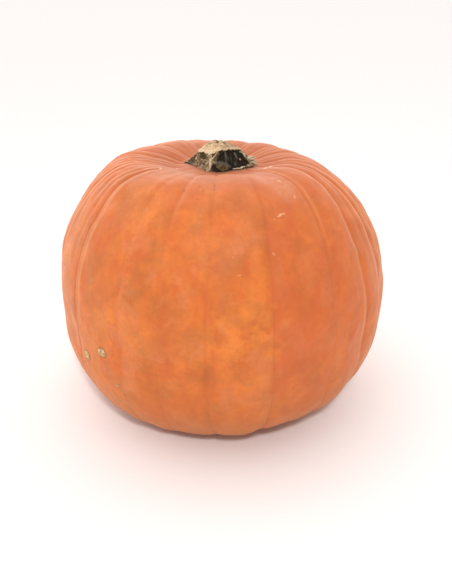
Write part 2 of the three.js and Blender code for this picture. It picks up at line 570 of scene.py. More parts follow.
@dataclass(frozen=True)
class Groove:
    """A groove between two ribs, and the tone of the rib after it.

    Attributes:
        at: Degrees around the widest level.
        crown_lean: Degrees that it has moved by the crown.
        base_lean: Degrees that it has moved by the base.
        crown: Share of the full depth on the crown.
        middle: Share of the full depth at the widest level.
        base: Share of the full depth on the base.
        valley: How broad it is: the share of a wide valley beside the narrow crease.
        line: How dark the painted shade along its bottom is.
        tone: How red and dull the rind is from here to the next groove.
    """

    at: float
    crown_lean: float
    base_lean: float
    crown: float
    middle: float
    base: float
    valley: float
    line: float
    tone: float


@dataclass(frozen=True)
class RibLine:
    """A line along a rib: degrees around, its strength, and the latitudes it runs between."""

    at: float
    share: float
    low: float = 42.0
    high: float = 88.0


GROOVES = tuple(Groove(*row) for row in (
    (-155, 0, 0, 0.35, 0.4, 0.7, 0.7, 0.5, 0.3), (-133, 0, 2, 0.35, 0.35, 0.7, 0.6, 0.4, 0.5),
    (-114, 0, 3, 0.45, 0.5, 0.7, 0.7, 0.6, 0.2), (-102, 0, 4, 0.45, 0.4, 0.6, 0.5, 0.4, 0.3),
    (-80, 0, 5, 0.42, 0.32, 0.45, 0.55, 0.7, 0.25), (-57, -1, 6, 0.42, 0.25, 0.30, 0.45, 0.9, 0.15),
    (-34, 1, 3, 0.12, 0.06, 0.20, 0.3, 0.1, 0.0), (-21, 0, 2, 0.20, 0.14, 0.12, 0.3, 0.25, 0.1),
    (-5, 0, 2, 0.22, 0.12, 0.50, 0.3, 0.42, 0.1), (15.5, 1, -2, 0.12, 0.17, 0.62, 0.3, 0.5, 0.75),
    (37, 6, -1, 0.35, 0.10, 0.35, 0.4, 0.2, 0.65), (55, 7, -3, 0.38, 0.20, 0.40, 0.45, 0.4, 0.5),
    (70, 6, -5, 0.60, 0.34, 0.50, 0.55, 0.9, 0.4), (93, 2, -5, 0.60, 0.50, 0.60, 0.7, 0.6, 0.2),
    (117, 1, -3, 0.45, 0.5, 0.7, 0.7, 0.5, 0.0), (139, 0, -2, 0.35, 0.4, 0.7, 0.6, 0.5, 0.3),
    (160, 0, 0, 0.35, 0.4, 0.8, 0.7, 0.6, 0.1), (182, 0, 0, 0.35, 0.4, 0.7, 0.6, 0.4, 0.4),
))

# A row is an angle and a strength, and the lowest and highest latitude if not the usual ones.
FOLDS = tuple(RibLine(*row) for row in (
    (-147, 0.6), (-140, 0.4), (-126, 0.7), (-120, 0.5), (-108, 0.7, 35.0), (-96, 0.6, 30.0),
    (-90, 0.8, 25.0), (-84, 0.5, 40.0), (-73, 0.65, 10.0), (-67, 0.5, 25.0), (-62, 0.65, 5.0),
    (-50, 0.5, 45.0), (-42, 0.35, 50.0, 84.0), (-28, 0.2, 50.0, 84.0), (-13, 0.2, 30.0, 80.0),
    (5, 0.2, 45.0, 84.0), (26, 0.3, 48.0, 84.0), (46, 0.5, 40.0), (62, 0.6, 10.0), (77, 0.6, 30.0),
    (84, 0.8, 25.0), (101, 0.6, 35.0), (109, 0.7, 30.0), (124, 0.5), (131, 0.7), (147, 0.4),
    (154, 0.6), (171, 0.6), (194, 0.5),
))

# Painted highlights: pale lines along the rib shoulders beside the grooves.
HIGHLIGHT_LINES = tuple(RibLine(*row) for row in (
    (-82, 0.7, 10.0, 72.0), (-76.5, 0.8, 15.0, 74.0), (-65, 0.5, 25.0, 72.0), (-61, 0.6, 28.0, 70.0),
    (-54, 0.7, -12.0, 66.0), (-38, 0.35, 40.0, 76.0), (-19.5, 0.2, 30.0, 72.0), (-7, 0.2, 55.0, 78.0),
    (39, 0.45, 25.0, 74.0), (47, 0.4, 40.0, 76.0), (53.5, 0.6, -20.0, 62.0), (66.5, 0.7, -5.0, 60.0),
    (74, 0.6, 5.0, 66.0), (88, 0.6, 0.0, 70.0), (112, 0.35, 0.0, 70.0), (135, 0.3, 0.0, 70.0),
    (165, 0.3, 0.0, 70.0), (-112, 0.35, 0.0, 70.0), (-136, 0.3, 0.0, 70.0), (-158, 0.3, 0.0, 70.0),
))

SCAB_ANGLE = -46.0

# A row is an angle, a latitude, a width and a height, and a tilt and a strength if any.
MARKS = tuple(Mark(kind, *row) for kind, rows in {
    MarkKind.SCAB: (
        (-42.0, -1.6, 8.6, 7.4, 10.0), (-51.6, -4.3, 8.8, 7.4, 25.0),
        (-36.4, -8.2, 3.0, 2.0, 20.0, 0.7),
    ),
    MarkKind.SPECK: (
        (-54.8, -7.1, 6.0, 2.2, 35.0), (-20.8, 54.1, 2.2, 1.8), (-13.2, 57.1, 1.8, 1.8, 0.0, 0.8),
        (-10.4, 54.9, 1.6, 1.4, 0.0, 0.7), (-9.0, 53.0, 1.4, 1.2, 0.0, 0.6),
        (-15.0, 55.6, 1.2, 1.2, 0.0, 0.6), (-5.0, 58.5, 1.5, 2.8, 0.0, 0.8),
        (-5.0, 55.8, 1.6, 2.2, 0.0, 0.7), (-12.0, 50.1, 2.0, 1.3, 0.0, 0.6), (-70.2, 11.0, 3.0, 1.5),
        (3.0, -0.4, 1.4, 1.4, 0.0, 0.5), (-33.1, 25.3, 1.1, 1.1, 0.0, 0.7),
        (-31.3, 25.6, 1.2, 1.0, 0.0, 0.6), (-34.0, -11.5, 1.5, 5.0, 10.0, 0.6),
        (21.6, 43.4, 3.0, 1.2, 25.0, 0.35), (24.6, 43.2, 5.0, 0.9, 22.0, 0.25),
    ),
    MarkKind.SCRATCH: (
        (24.4, 44.4, 8.0, 1.5, 22.0, 0.6), (20.8, 42.8, 3.0, 1.0, 40.0, 0.25),
        (35.0, 61.6, 9.0, 1.5, -12.0, 0.4), (36.0, 58.9, 1.8, 4.2, 10.0, 0.6),
        (35.8, 50.3, 1.8, 3.5, -20.0, 0.35), (17.4, 32.0, 1.3, 3.0, 25.0, 0.25),
        (3.2, 31.0, 1.2, 1.0, 0.0, 0.22), (5.4, 25.9, 3.0, 1.4, 20.0, 0.25),
        (-59.6, 66.4, 2.6, 2.2, 0.0, 0.9), (66.0, 71.8, 6.0, 2.6, 0.0, 0.9),
        (52.0, 71.2, 3.6, 2.4, 0.0, 0.8), (-75.0, 75.0, 4.0, 1.3, 0.0, 0.6),
    ),
}.items() for row in rows)

STAINS_AND_SHADE = tuple(Mark(kind, *row) for kind, rows in {
    MarkKind.SMUDGE: (
        (-31.8, 17.6, 26.0, 10.0, 12.0, 0.9), (-46.4, 14.3, 8.0, 6.0, 0.0, 0.6),
        (-41.8, 7.9, 8.0, 5.0, 0.0, 0.4), (-26.6, 4.8, 9.0, 6.0, -10.0, 0.9),
        (-25.2, 0.2, 8.0, 6.0, 0.0, 0.9), (-22.0, 11.0, 6.0, 16.0, 0.0, 0.5),
        (-11.0, 4.3, 16.0, 14.0, 0.0, 0.35), (-16.4, -4.2, 12.0, 7.0, 20.0, 0.6),
        (-33.6, -11.3, 7.0, 10.0, 0.0, 0.8), (26.0, 14.1, 9.0, 11.0, 0.0, 0.6),
        (31.4, 23.0, 8.0, 7.0, 0.0, 0.5), (-10.4, 39.3, 14.0, 14.0, 0.0, 0.4),
        (-10.0, 57.0, 20.0, 9.0, 0.0, 0.4), (-24.0, 33.0, 12.0, 24.0, 0.0, 0.35),
        (128.0, 8.0, 26.0, 20.0, 0.0, 0.6), (172.0, 24.0, 14.0, 22.0, 20.0, 0.5),
        (-150.0, 4.0, 24.0, 12.0, -15.0, 0.6), (-118.0, 20.0, 14.0, 18.0, 0.0, 0.4),
        (33.0, 53.5, 13.0, 15.0, -15.0, 0.4), (17.5, 24.0, 5.0, 30.0, 0.0, 0.3),
    ),
    MarkKind.HAZE: (
        (33.0, 54.5, 15.0, 19.0, -15.0, 1.0), (29.0, 60.0, 20.0, 14.0, -20.0, 0.5),
        (-8.0, 67.0, 26.0, 7.0, 0.0, 0.15), (-55.0, 66.0, 22.0, 14.0, 20.0, 0.3),
        (160.0, 48.0, 26.0, 18.0, 0.0, 0.5), (-70.0, 10.0, 26.0, 70.0, 0.0, 0.45),
    ),
    # Painted shade: broad patches that darken the rind.
    MarkKind.SHADE: (
        (-5.0, 63.0, 44.0, 16.0, 0.0, 0.9), (-57.0, 53.0, 34.0, 44.0, 0.0, 1.0),
        (-6.8, -2.2, 24.0, 18.0, 0.0, 0.8), (-42.0, 13.3, 14.0, 22.0, 0.0, 0.6),
        (-24.0, -6.0, 26.0, 18.0, 0.0, 0.5), (33.4, 44.2, 26.0, 22.0, 0.0, 0.5),
        (14.4, 33.3, 8.0, 34.0, 0.0, 0.5), (-120.0, 40.0, 40.0, 26.0, 0.0, 0.5),
    ),
    MarkKind.GLOW: (
        (-12.0, 60.0, 34.0, 12.0, 0.0, 0.9), (3.0, 9.0, 40.0, 36.0, 0.0, 0.75),
        (-2.0, 44.0, 26.0, 18.0, 0.0, 0.6), (-16.0, 20.0, 34.0, 50.0, 0.0, 0.5),
        (-39.0, 5.0, 36.0, 54.0, 0.0, 0.7), (-14.0, 52.0, 40.0, 18.0, 0.0, 0.7),
        (-12.0, 53.0, 34.0, 16.0, 0.0, 0.9), (-36.0, 47.0, 30.0, 20.0, 0.0, 0.7),
        (-39.6, 29.7, 24.0, 28.0, 0.0, 0.8), (-25.0, 40.0, 24.0, 22.0, 0.0, 0.7),
        (-7.6, 27.9, 20.0, 12.0, 0.0, 0.8), (-16.2, 5.5, 16.0, 14.0, 0.0, 0.7),
        (-13.0, -1.0, 28.0, 32.0, 0.0, 0.7), (24.0, 1.0, 30.0, 26.0, 0.0, 0.6),
        (24.0, -14.0, 36.0, 24.0, 0.0, 0.7), (150.0, 10.0, 50.0, 60.0, 0.0, 0.7),
        (-130.0, 0.0, 40.0, 60.0, 0.0, 0.5),
    ),
}.items() for row in rows)


@dataclass(frozen=True)
class Swell:
    """A broad swell or dent: its angle and latitude, its breadths in degrees, and how far out."""

    at: float
    level: float
    wide: float
    tall: float
    out: float


SWELLS = tuple(Swell(*row) for row in (
    (-90, 26, 40, 13, -0.0026), (-90, -10, 40, 14, 0.0028), (42, -36, 34, 18, 0.0045),
    (160, 52, 55, 18, -0.0034), (-140, 50, 28, 14, 0.0014), (92, -4, 35, 16, 0.0018),
    (-48, -40, 20, 14, 0.0012), (-76, -26, 22, 12, -0.0032),
))


@dataclass(frozen=True)
class FruitForm:
    """The fruit's smooth skin and its ribs, in metres over the surface it stands on.

    The outline is a rounded box: the height at a radius is the full height times
    (1 - (radius / half width)^n)^(1/n), with n a little smaller on the right than on the left.
    The crown has a bell-shaped hollow taken out. The base stands on a flat ring around a bowl.
    """

    half_width: float = 0.120
    crown_rise: float = 0.1175
    base_drop: float = 0.0975
    foot_flattening: float = 0.006
    crown_roundness: float = 2.0
    crown_lopsidedness: float = 0.23
    lopsided_beyond: float = 0.096
    base_roundness: float = 3.15
    base_lopsidedness: float = 0.45
    hollow_depth: float = 0.0325
    hollow_radius: float = 0.060
    pit_depth: float = 0.006
    pit_radius: float = 0.045
    crown_shift_x: float = 0.0045
    hollow_shift_x: float = -0.0075
    hollow_shift_y: float = 0.0025
    base_shift_x: float = 0.0035
    crown_tilt_x: float = 0.021
    crown_tilt_y: float = -0.059
    seat_radius: float = 0.031
    bowl_radius: float = 0.056
    bowl_depth: float = 0.006
    foot_softness: float = 0.0008
    blossom_radius: float = 0.012
    blossom_depth: float = 0.003
    nub_radius: float = 0.0028
    swell_seat: float = 0.060
    swell_foot: Numbers = (0.065, 0.092)

    @property
    def level(self) -> float:
        """Height of the widest level over the surface that the fruit stands on."""
        return self.base_drop - self.foot_flattening

    def crown_height(self, radius: np.ndarray, side: np.ndarray) -> np.ndarray:
        """Height of the crown over the widest level, at a radius and on a side.

        Args:
            radius: Radius, in metres.
            side: How far to the right, from -1 to 1.

        Returns:
            The heights.
        """
        reach = np.maximum(radius, self.seat_radius)
        lopsided = self.crown_lopsidedness * smooth_step(reach, self.seat_radius, self.lopsided_beyond)
        roundness = self.crown_roundness - lopsided * side
        share = np.minimum(reach / self.half_width, 1.0) ** roundness
        rim = hump(self.half_width, self.hollow_radius)
        hollow = (hump(reach, self.hollow_radius) - rim) / (1.0 - rim)
        pit = hump(reach, self.pit_radius) * (1.0 - reach / self.half_width)
        full = self.crown_rise * (1.0 - share) ** (1.0 / roundness)
        return full - self.hollow_depth * hollow - self.pit_depth * pit

    def base_height(self, radius: np.ndarray, side: np.ndarray) -> np.ndarray:
        """Height of the base over the widest level, at a radius and on a side: negative.

        The rounded box goes over into the floor with its bowl by soft * ln(1 + e^(gap / soft)),
        which is the gap well above the floor and nothing well below it. The blossom scar's
        dimple is a small bowl with a nub in its middle.

        Args:
            radius: Radius, in metres.
            side: How far to the right, from -1 to 1.

        Returns:
            The heights.
        """
        roundness = self.base_roundness - self.base_lopsidedness * side
        share = np.minimum(radius / self.half_width, 1.0) ** roundness
        round_base = -self.base_drop * (1.0 - share) ** (1.0 / roundness)
        bowl = self.bowl_depth * np.clip(1.0 - (radius / self.bowl_radius) ** 2, 0.0, 1.0) ** 1.5
        floor = bowl - self.level
        gap = np.clip((round_base - floor) / self.foot_softness, -30.0, 30.0)
        above = np.where(gap >= 30.0, round_base - floor, self.foot_softness * np.log1p(np.exp(gap)))
        dimple = np.clip(1.0 - (radius / self.blossom_radius) ** 2, 0.0, 1.0) ** 1.5
        return floor + above + self.blossom_depth * (dimple - 0.45 * hump(radius, self.nub_radius))

    def radius(self, latitude: np.ndarray) -> np.ndarray:
        """Radius at a latitude in degrees: half width times its cosine."""
        return self.half_width * np.cos(np.radians(latitude))

    def swell(self, latitude: np.ndarray, angle: np.ndarray) -> np.ndarray:
        """How far the broad swells move the skin out: bells in angle and latitude.

        Args:
            latitude: Degrees of latitude.
            angle: Degrees around.

        Returns:
            How far out, in metres.
        """
        radius = self.radius(latitude)
        on_crown = smooth_step(radius, self.seat_radius, self.swell_seat)
        fade = np.where(latitude > 0.0, on_crown, smooth_step(radius, *self.swell_foot))
        total = 0.0
        for swell in SWELLS:
            around = half_turn(angle - swell.at)
            total = total + swell.out * hump(around, swell.wide) * hump(latitude - swell.level, swell.tall)
        return fade * total

    def skin(self, latitude: np.ndarray, angle: np.ndarray) -> np.ndarray:
        """Places on the smooth skin, without grooves. A swell of the base doesn't move it down.

        Args:
            latitude: Degrees of latitude.
            angle: Degrees around the fruit.

        Returns:
            The places, with the coordinates in a new last axis.
        """
        turn = np.radians(angle)
        radius = self.radius(latitude)
        side = np.sin(turn)
        upper = latitude > 0.0
        reach = np.maximum(radius, self.seat_radius)
        poleward = 1.0 - (reach / self.half_width) ** 2
        in_hollow = hump(reach, self.hollow_radius) * poleward
        crown_shift = self.crown_shift_x * poleward + self.hollow_shift_x * in_hollow
        base_shift = self.base_shift_x * (1.0 - (radius / self.half_width) ** 2)
        x = radius * side + np.where(upper, crown_shift, base_shift)
        y = -radius * np.cos(turn) + np.where(upper, self.hollow_shift_y * in_hollow, 0.0)
        rims = self.crown_height(self.seat_radius, np.array([1.0, -1.0]))
        inward = np.minimum(radius / self.seat_radius, 1.0)
        crown = blend(rims.mean(), self.crown_height(radius, side), inward)
        crown = crown + (self.crown_tilt_x * x + self.crown_tilt_y * y) * poleward
        swell = 1.0 + self.swell(latitude, angle) / self.half_width
        z = np.where(upper, crown * swell, self.base_height(radius, side))
        return np.stack(np.broadcast_arrays(x * swell, y * swell, z + self.level), axis=-1)

    def place(self, mark: Mark) -> PlacedMark:
        """Finds a mark's oval on the smooth skin, from steps along the level and the rib.

        Args:
            mark: The mark.

        Returns:
            The oval in space.
        """
        step = 0.5
        depth = 0.010
        here = self.skin(np.array(mark.latitude), np.array(mark.angle))
        along = self.skin(np.array(mark.latitude), np.array(mark.angle + step)) - here
        along /= np.linalg.norm(along)
        up = self.skin(np.array(mark.latitude + step), np.array(mark.angle)) - here
        up -= along * (up @ along)
        up /= np.linalg.norm(up)
        out = np.cross(along, up)
        axes = Matrix(np.stack([along, up, out], axis=1).tolist())
        turn = (axes @ Matrix.Rotation(math.radians(mark.tilt), 3, "Z")).to_euler("XYZ")
        halves = (mark.wide * MM / 2.0, mark.tall * MM / 2.0, depth)
        return PlacedMark(tuple(here), tuple(turn), halves, mark.strength)


def oval_distance(mark: PlacedMark, points: np.ndarray) -> np.ndarray:
    """How far points are from a mark's middle, in units of its half sizes.

    Args:
        mark: The mark.
        points: Places, as rings by columns by coordinates.

    Returns:
        The distances.
    """
    axes = np.array(Euler(mark.turn, "XYZ").to_matrix())
    local = (points - np.array(mark.centre)) @ axes
    return np.linalg.norm(local / np.array(mark.halves), axis=-1)


@dataclass(frozen=True)
class StemEdge:
    """The stem's outline at one angle.

    Attributes:
        at: Degrees around the stem.
        foot: Millimetres that the foot reaches out.
        top: Millimetres that the torn edge reaches out.
        height: Millimetres of the torn edge over the seat.
        flare: How the flank spreads: over 1 it is hollow, under 1 it bulges.
    """

    at: float
    foot: float
    top: float
    height: float
    flare: float


STEM_OUTLINE = tuple(StemEdge(*row) for row in (
    (-150, 22.0, 14.0, 12.2, 1.3), (-107, 26.4, 14.0, 9.9, 1.3), (-75, 19.4, 14.8, 10.4, 1.2),
    (-45, 19.4, 14.6, 11.1, 1.1), (-20, 24.0, 14.5, 11.5, 1.3), (0, 26.5, 14.3, 14.4, 1.4),
    (22, 24.0, 14.4, 14.0, 1.2), (58, 26.0, 15.4, 13.2, 0.9), (90, 24.0, 12.8, 11.0, 0.9),
    (140, 22.0, 12.6, 10.6, 1.2), (180, 22.0, 14.0, 12.6, 1.3),
))


def stem_outline(key: str, angle: np.ndarray) -> np.ndarray:
    """A value of the stem's outline, which goes smoothly from each listed angle to the next.

    Args:
        key: The name of the value.
        angle: Degrees around the stem.

    Returns:
        The value at each angle.
    """
    at = np.array([edge.at for edge in STEM_OUTLINE] + [STEM_OUTLINE[0].at + 360.0])
    values = np.array([getattr(edge, key) for edge in STEM_OUTLINE + STEM_OUTLINE[:1]])
    turn = (angle - at[0]) % 360.0 + at[0]
    here = np.clip(np.searchsorted(at, turn, side="right") - 1, 0, len(STEM_OUTLINE) - 1)
    share = smooth_step((turn - at[here]) / (at[here + 1] - at[here]), 0.0, 1.0)
    return blend(values[here], values[here + 1], share)


@dataclass
class FruitSkin:
    """The fruit's ribbed skin, as one closed surface with the values its finish needs."""

    form: FruitForm = field(default_factory=FruitForm)
    rings: int = 180
    columns: int = 544
    groove_depth: float = 0.0026
    valley_depth: float = 0.0024
    crease_bells: Numbers = (0.45, 0.0012, 0.55, 0.0042)
    line_bells: Numbers = (0.7, 0.0011, 0.3, 0.0035)
    rib_sharpness: float = 0.95
    fold_depth: float = 0.0007
    fold_width: float = 0.0026
    highlight_width: float = 0.0013
    lump_heights: Tuple[float, ...] = (0.0005, 0.00030, 0.00010)
    lump_lengths: Tuple[float, ...] = (0.085, 0.034, 0.011)
    scab_height: float = 0.0008
    rib_swell: float = 0.0005
    seed: int = 11
    name: str = "fruit_skin"
    shift: np.ndarray = field(default_factory=lambda: np.zeros(3))
    scab_reach: float = 0.012
    scab_spread: float = 7.0
    groove_spread: float = 1.5
    fold_spread: float = 1.3
    crown_leaning: Numbers = (15.0, 70.0)
    base_leaning: Numbers = (5.0, 45.0)
    crown_deepening: Numbers = (8.0, 55.0)
    base_deepening: Numbers = (5.0, 40.0)
    seat_fade: Numbers = (0.019, 0.032)
    foot_fade: Numbers = (0.020, 0.080)
    scar_fade: Numbers = (0.004, 0.016)
    crown_bloom_and_painted_light_span: Numbers = (35.0, 80.0)
    hollow_shade_span: Numbers = (0.040, 0.080)
    base_shade_span: Numbers = (-3.0, 38.0)
    rind_stem_shadow_span: Numbers = (-0.0005, 0.0032)
    crown_calm: Numbers = (0.020, 0.040)
    foot_calm: Numbers = (0.060, 0.100)
    crust_length: float = 0.0022
    dip_width: float = 0.25
    dome_fade: Numbers = (0.45, 1.0)

    def latitudes(self) -> np.ndarray:
        """Ring latitudes that are even along the front's outline, and closer at the scabs.

        Returns:
            The latitudes in degrees, from the base up.
        """
        crowding = 1.6
        fine = np.linspace(-1.0, 1.0, FINE_STEPS)
        degrees = 90.0 * np.sign(fine) * np.abs(fine) ** crowding
        outline = self.form.skin(degrees, np.zeros_like(degrees))
        steps = np.linalg.norm(np.diff(outline, axis=0), axis=1)
        way = np.concatenate([[0.0], np.cumsum(steps)])
        heights = outline[:, 2]

        def weight(position: np.ndarray) -> np.ndarray:
            """How densely the rings lie along the way."""
            height = np.interp(position, way, heights)
            low = np.interp(position, way, degrees) < 20.0
            return 1.0 + 1.5 * low * hump(height - self.scab_level(), self.scab_reach)

        places = spaced(self.rings + 2, 0.0, way[-1], weight, closed=False)[1:-1]
        return np.interp(places, way, degrees)

    def scab_level(self) -> float:
        """Mean height of the scabs."""
        scabs = [mark for mark in MARKS if mark.kind is MarkKind.SCAB]
        return float(np.mean([self.form.place(mark).centre[2] for mark in scabs]))

    def turns(self) -> np.ndarray:
        """Column places in degrees around the widest level, closer at grooves, folds and scabs.

        Returns:
            The places, in order.
        """
        start = float(GROOVES[0].at)

        def weight(position: np.ndarray) -> np.ndarray:
            """How densely the columns lie at an angle."""
            dense = 1.0 + 1.2 * hump(position - SCAB_ANGLE, self.scab_spread)
            for groove in GROOVES:
                for turn in (groove.at, groove.at + 360.0):
                    dense = dense + 1.8 * hump(position - turn, self.groove_spread)
            for fold in FOLDS:
                dense = dense + 0.8 * hump(position - fold.at, self.fold_spread)
            return dense

        return spaced(self.columns, start, start + 360.0, weight, closed=True)

    def rib_layout(self, latitude: np.ndarray, turn: np.ndarray) -> Layers:
        """Where each place lies between its two grooves.

        Args:
            latitude: Ring latitudes, as a column.
            turn: Column places, as a row.

        Returns:
            The leaned angle, the share of the way across the rib, the rib's number, its span in
            degrees here and at the widest level, and the depths and widths of the grooves on
            both sides.
        """
        count = len(GROOVES)
        at = np.array([groove.at for groove in GROOVES] + [GROOVES[0].at + 360.0])
        wrap = np.arange(count + 1) % count

        def pick(key: str) -> np.ndarray:
            """One value of every groove in order, and the first one's again."""
            return np.array([getattr(groove, key) for groove in GROOVES])[wrap]

        rib = np.clip(np.searchsorted(at, turn[0], side="right") - 1, 0, count - 1)
        along = (turn[0] - at[rib]) / (at[rib + 1] - at[rib])
        on_crown = smooth_step(latitude, *self.crown_leaning)
        on_base = smooth_step(-latitude, *self.base_leaning)
        edges = at + pick("crown_lean") * on_crown + pick("base_lean") * on_base
        middle = pick("middle")
        deep = middle + (pick("crown") - middle) * smooth_step(latitude, *self.crown_deepening)
        deep = deep + (pick("base") - middle) * smooth_step(-latitude, *self.base_deepening)
        broad = deep * pick("valley")
        return {
            "angle": blend(edges[:, rib], edges[:, rib + 1], along),
            "along": np.broadcast_to(along, (len(latitude), len(along))),
            "rib": np.broadcast_to(rib, (len(latitude), len(rib))),
            "span": edges[:, rib + 1] - edges[:, rib],
            "level_span": (at[rib + 1] - at[rib])[None],
            "left": deep[:, rib],
            "right": deep[:, rib + 1],
            "left_line": pick("line")[rib][None],
            "right_line": pick("line")[rib + 1][None],
            "valley": blend(broad[:, rib], broad[:, rib + 1], along),
        }

    def beside_grooves(self, ribs: Layers, radius: np.ndarray, left: str, right: str,
                       bells: Numbers) -> np.ndarray:
        """What runs along the grooves: at each, a thin bell within a wider one.

        Args:
            ribs: The rib layout.
            radius: Radius of each ring, as a column.
            left: The layout's name for its strength at the groove on the left.
            right: The layout's name for its strength at the groove on the right.
            bells: The thin bell's height and width, then the wider one's.

        Returns:
            How strong it is at each place.
        """
        width = np.radians(ribs["span"]) * radius
        thin, thin_width, wide, wide_width = bells
        total = np.zeros_like(ribs["along"])
        for strong, off in ((ribs[left], ribs["along"]), (ribs[right], 1.0 - ribs["along"])):
            way = off * width
            total = total + strong * (thin * hump(way, thin_width) + wide * hump(way, wide_width))
        return total

    def along_ribs(self, lines: Sequence[RibLine], ribs: Layers, latitude: np.ndarray,
                   turn: np.ndarray, radius: np.ndarray, width: float) -> np.ndarray:
        """The lines within the ribs, which lean as the ribs do and fade at their ends.

        Args:
            lines: What runs along the ribs.
            ribs: The rib layout.
            latitude: Ring latitudes, as a column.
            turn: Column places, as a row.
            radius: Radius of each ring, as a column.
            width: Width of a line at the widest level.

        Returns:
            How strongly the lines show at each place.
        """
        scale = ribs["span"] / ribs["level_span"]
        total = np.zeros_like(ribs["along"])
        width = width * (0.45 + 0.55 * radius / self.form.half_width)
        for line in lines:
            off = half_turn(turn - line.at)
            runs = smooth_step(latitude, line.low, line.low + 22.0)
            runs = runs * (1.0 - smooth_step(latitude, line.high - 8.0, line.high))
            total = total + line.share * runs * hump(np.radians(off * scale) * radius, width)
        return total

    def surface(self) -> Tuple[np.ndarray, Layers]:
        """Works out the whole skin.

        The smooth skin moves inwards along its normal in the grooves: by a broad valley of
        1 minus a power of the sine across the rib, by narrow bells at the creases and by fine
        folds. Then it moves by swollen ribs, lumps and scabs.

        Returns:
            The places, as rings by columns by coordinates, and the mesh's traits.
        """
        form = self.form
        latitude = self.latitudes()[:, None]
        turn = self.turns()[None, :]
        ribs = self.rib_layout(latitude, turn)
        points = form.skin(latitude, ribs["angle"])
        radius = form.radius(latitude)
        share = radius / form.half_width
        across = np.sin(math.pi * ribs["along"])
        broad = (1.0 - across ** self.rib_sharpness) * ribs["valley"] * (0.4 + 0.6 * share)
        crease = self.beside_grooves(ribs, radius, "left", "right", self.crease_bells)
        # The next mask is painted shade along the bottoms of the grooves.
        dark = self.beside_grooves(ribs, radius, "left_line", "right_line", self.line_bells)
        folds = self.along_ribs(FOLDS, ribs, latitude, turn, radius, self.fold_width)
        # pale is a mask of painted highlights along the rib shoulders
        pale = self.along_ribs(HIGHLIGHT_LINES, ribs, latitude, turn, radius, self.highlight_width)
        upper = latitude > 0.0
        near_seat = smooth_step(radius, *self.seat_fade)
        near_foot = 0.25 + 0.75 * smooth_step(radius, *self.foot_fade)
        fade = np.where(upper, near_seat, near_foot * smooth_step(radius, *self.scar_fade))
        sink = self.valley_depth * broad + self.groove_depth * crease + self.fold_depth * folds
        points = points - grid_normals(points) * (sink * fade)[..., None]
        points = points + grid_normals(points) * self.relief(points, latitude, ribs)[..., None]
        flat = np.zeros_like(ribs["angle"])
        tones = np.array([groove.tone for groove in GROOVES])
        # Masks for the colour, among them painted shade in the grooves, folds and valleys, painted
        # highlights along the ribs, painted sheen and shade on the crown, painted shade in the hollow round
        # the stem and towards the base, and the painted shadow round the stem's foot.
        traits = {
            "crease": np.clip(dark * fade, 0.0, 1.0),
            "fold": np.clip(folds * fade, 0.0, 1.0),
            "pale": np.clip(pale * fade, 0.0, 1.0),
            "valley": np.clip(broad * fade, 0.0, 1.0),
            "tone": tones[ribs["rib"]],
            "crown": smooth_step(latitude, *self.crown_bloom_and_painted_light_span) + flat,
            "hollow_shade": np.where(upper, 1.0 - smooth_step(radius, *self.hollow_shade_span), 0.0) + flat,
            "rind_stem_shadow": np.where(upper, self.rind_stem_shadow(points), 0.0),
            "blossom": np.where(upper, 0.0, 1.0 - smooth_step(radius, *self.scar_fade)) + flat,
            "low": smooth_step(-latitude, *self.base_shade_span) + flat,
        }
        traits.update(self.stains(points))
        return points, traits

    def rind_stem_shadow(self, points: np.ndarray) -> np.ndarray:
        """The painted shadow of the stem on the rind: a dark line around its foot, which fades out over a
        few millimetres.

        Args:
            points: Places, as rings by columns by coordinates.

        Returns:
            How dark each place is, as a share.
        """
        middle = self.form.skin(np.array(90.0), np.array(0.0))
        x, y = points[..., 0] - middle[0], points[..., 1] - middle[1]
        foot = stem_outline("foot", np.degrees(np.arctan2(x, -y))) * MM
        return 1.0 - smooth_step(np.hypot(x, y) - foot, *self.rind_stem_shadow_span)

    def relief(self, points: np.ndarray, latitude: np.ndarray, ribs: Layers) -> np.ndarray:
        """How far the skin moves along its normal: swollen ribs, lumps and raised scabs.

        Args:
            points: Places, as rings by columns by coordinates.
            latitude: Ring latitudes, as a column.
            ribs: The rib layout.

        Returns:
            How far out each place moves, in metres.
        """
        form = self.form
        rng = np.random.default_rng(self.seed)
        swell = rng.normal(0.0, self.rib_swell, len(GROOVES))[ribs["rib"]]
        height = swell * np.sin(math.pi * ribs["along"]) ** 2
        for index, (tall, length) in enumerate(zip(self.lump_heights, self.lump_lengths)):
            height = height + tall * Ripple(length, self.seed + index).at(points)
        radius = form.radius(latitude)
        on_foot = np.where(latitude > 0.0, smooth_step(radius, *self.crown_calm),
                           0.3 + 0.7 * smooth_step(radius, *self.foot_calm))
        height = height * on_foot
        for mark in MARKS:
            if mark.kind is MarkKind.SCAB:
                far = oval_distance(form.place(mark), points)
                crust = 0.75 + 0.25 * Ripple(self.crust_length, self.seed + 9).at(points)
                dip = 0.35 * hump(far - 1.15, self.dip_width)
                dome = (1.0 - smooth_step(far, *self.dome_fade)) * crust - dip
                height = height + self.scab_height * mark.strength * dome
        return height

    def stains(self, points: np.ndarray) -> Layers:
        """Soft masks of the stains, the dull wax, the yellow patches and the patches of painted shade, one
        for each kind.

        Args:
            points: Places, as rings by columns by coordinates.

        Returns:
            A mask for each kind, by its name in small letters.
        """
        masks = {kind.name.lower(): np.zeros(points.shape[:2])
                 for kind in (MarkKind.SMUDGE, MarkKind.HAZE, MarkKind.GLOW, MarkKind.SHADE)}
        for mark in STAINS_AND_SHADE:
            key = mark.kind.name.lower()
            far = oval_distance(self.form.place(mark), points)
            masks[key] = np.maximum(masks[key], mark.strength * np.exp(-far ** 2 * 0.9))
        return masks

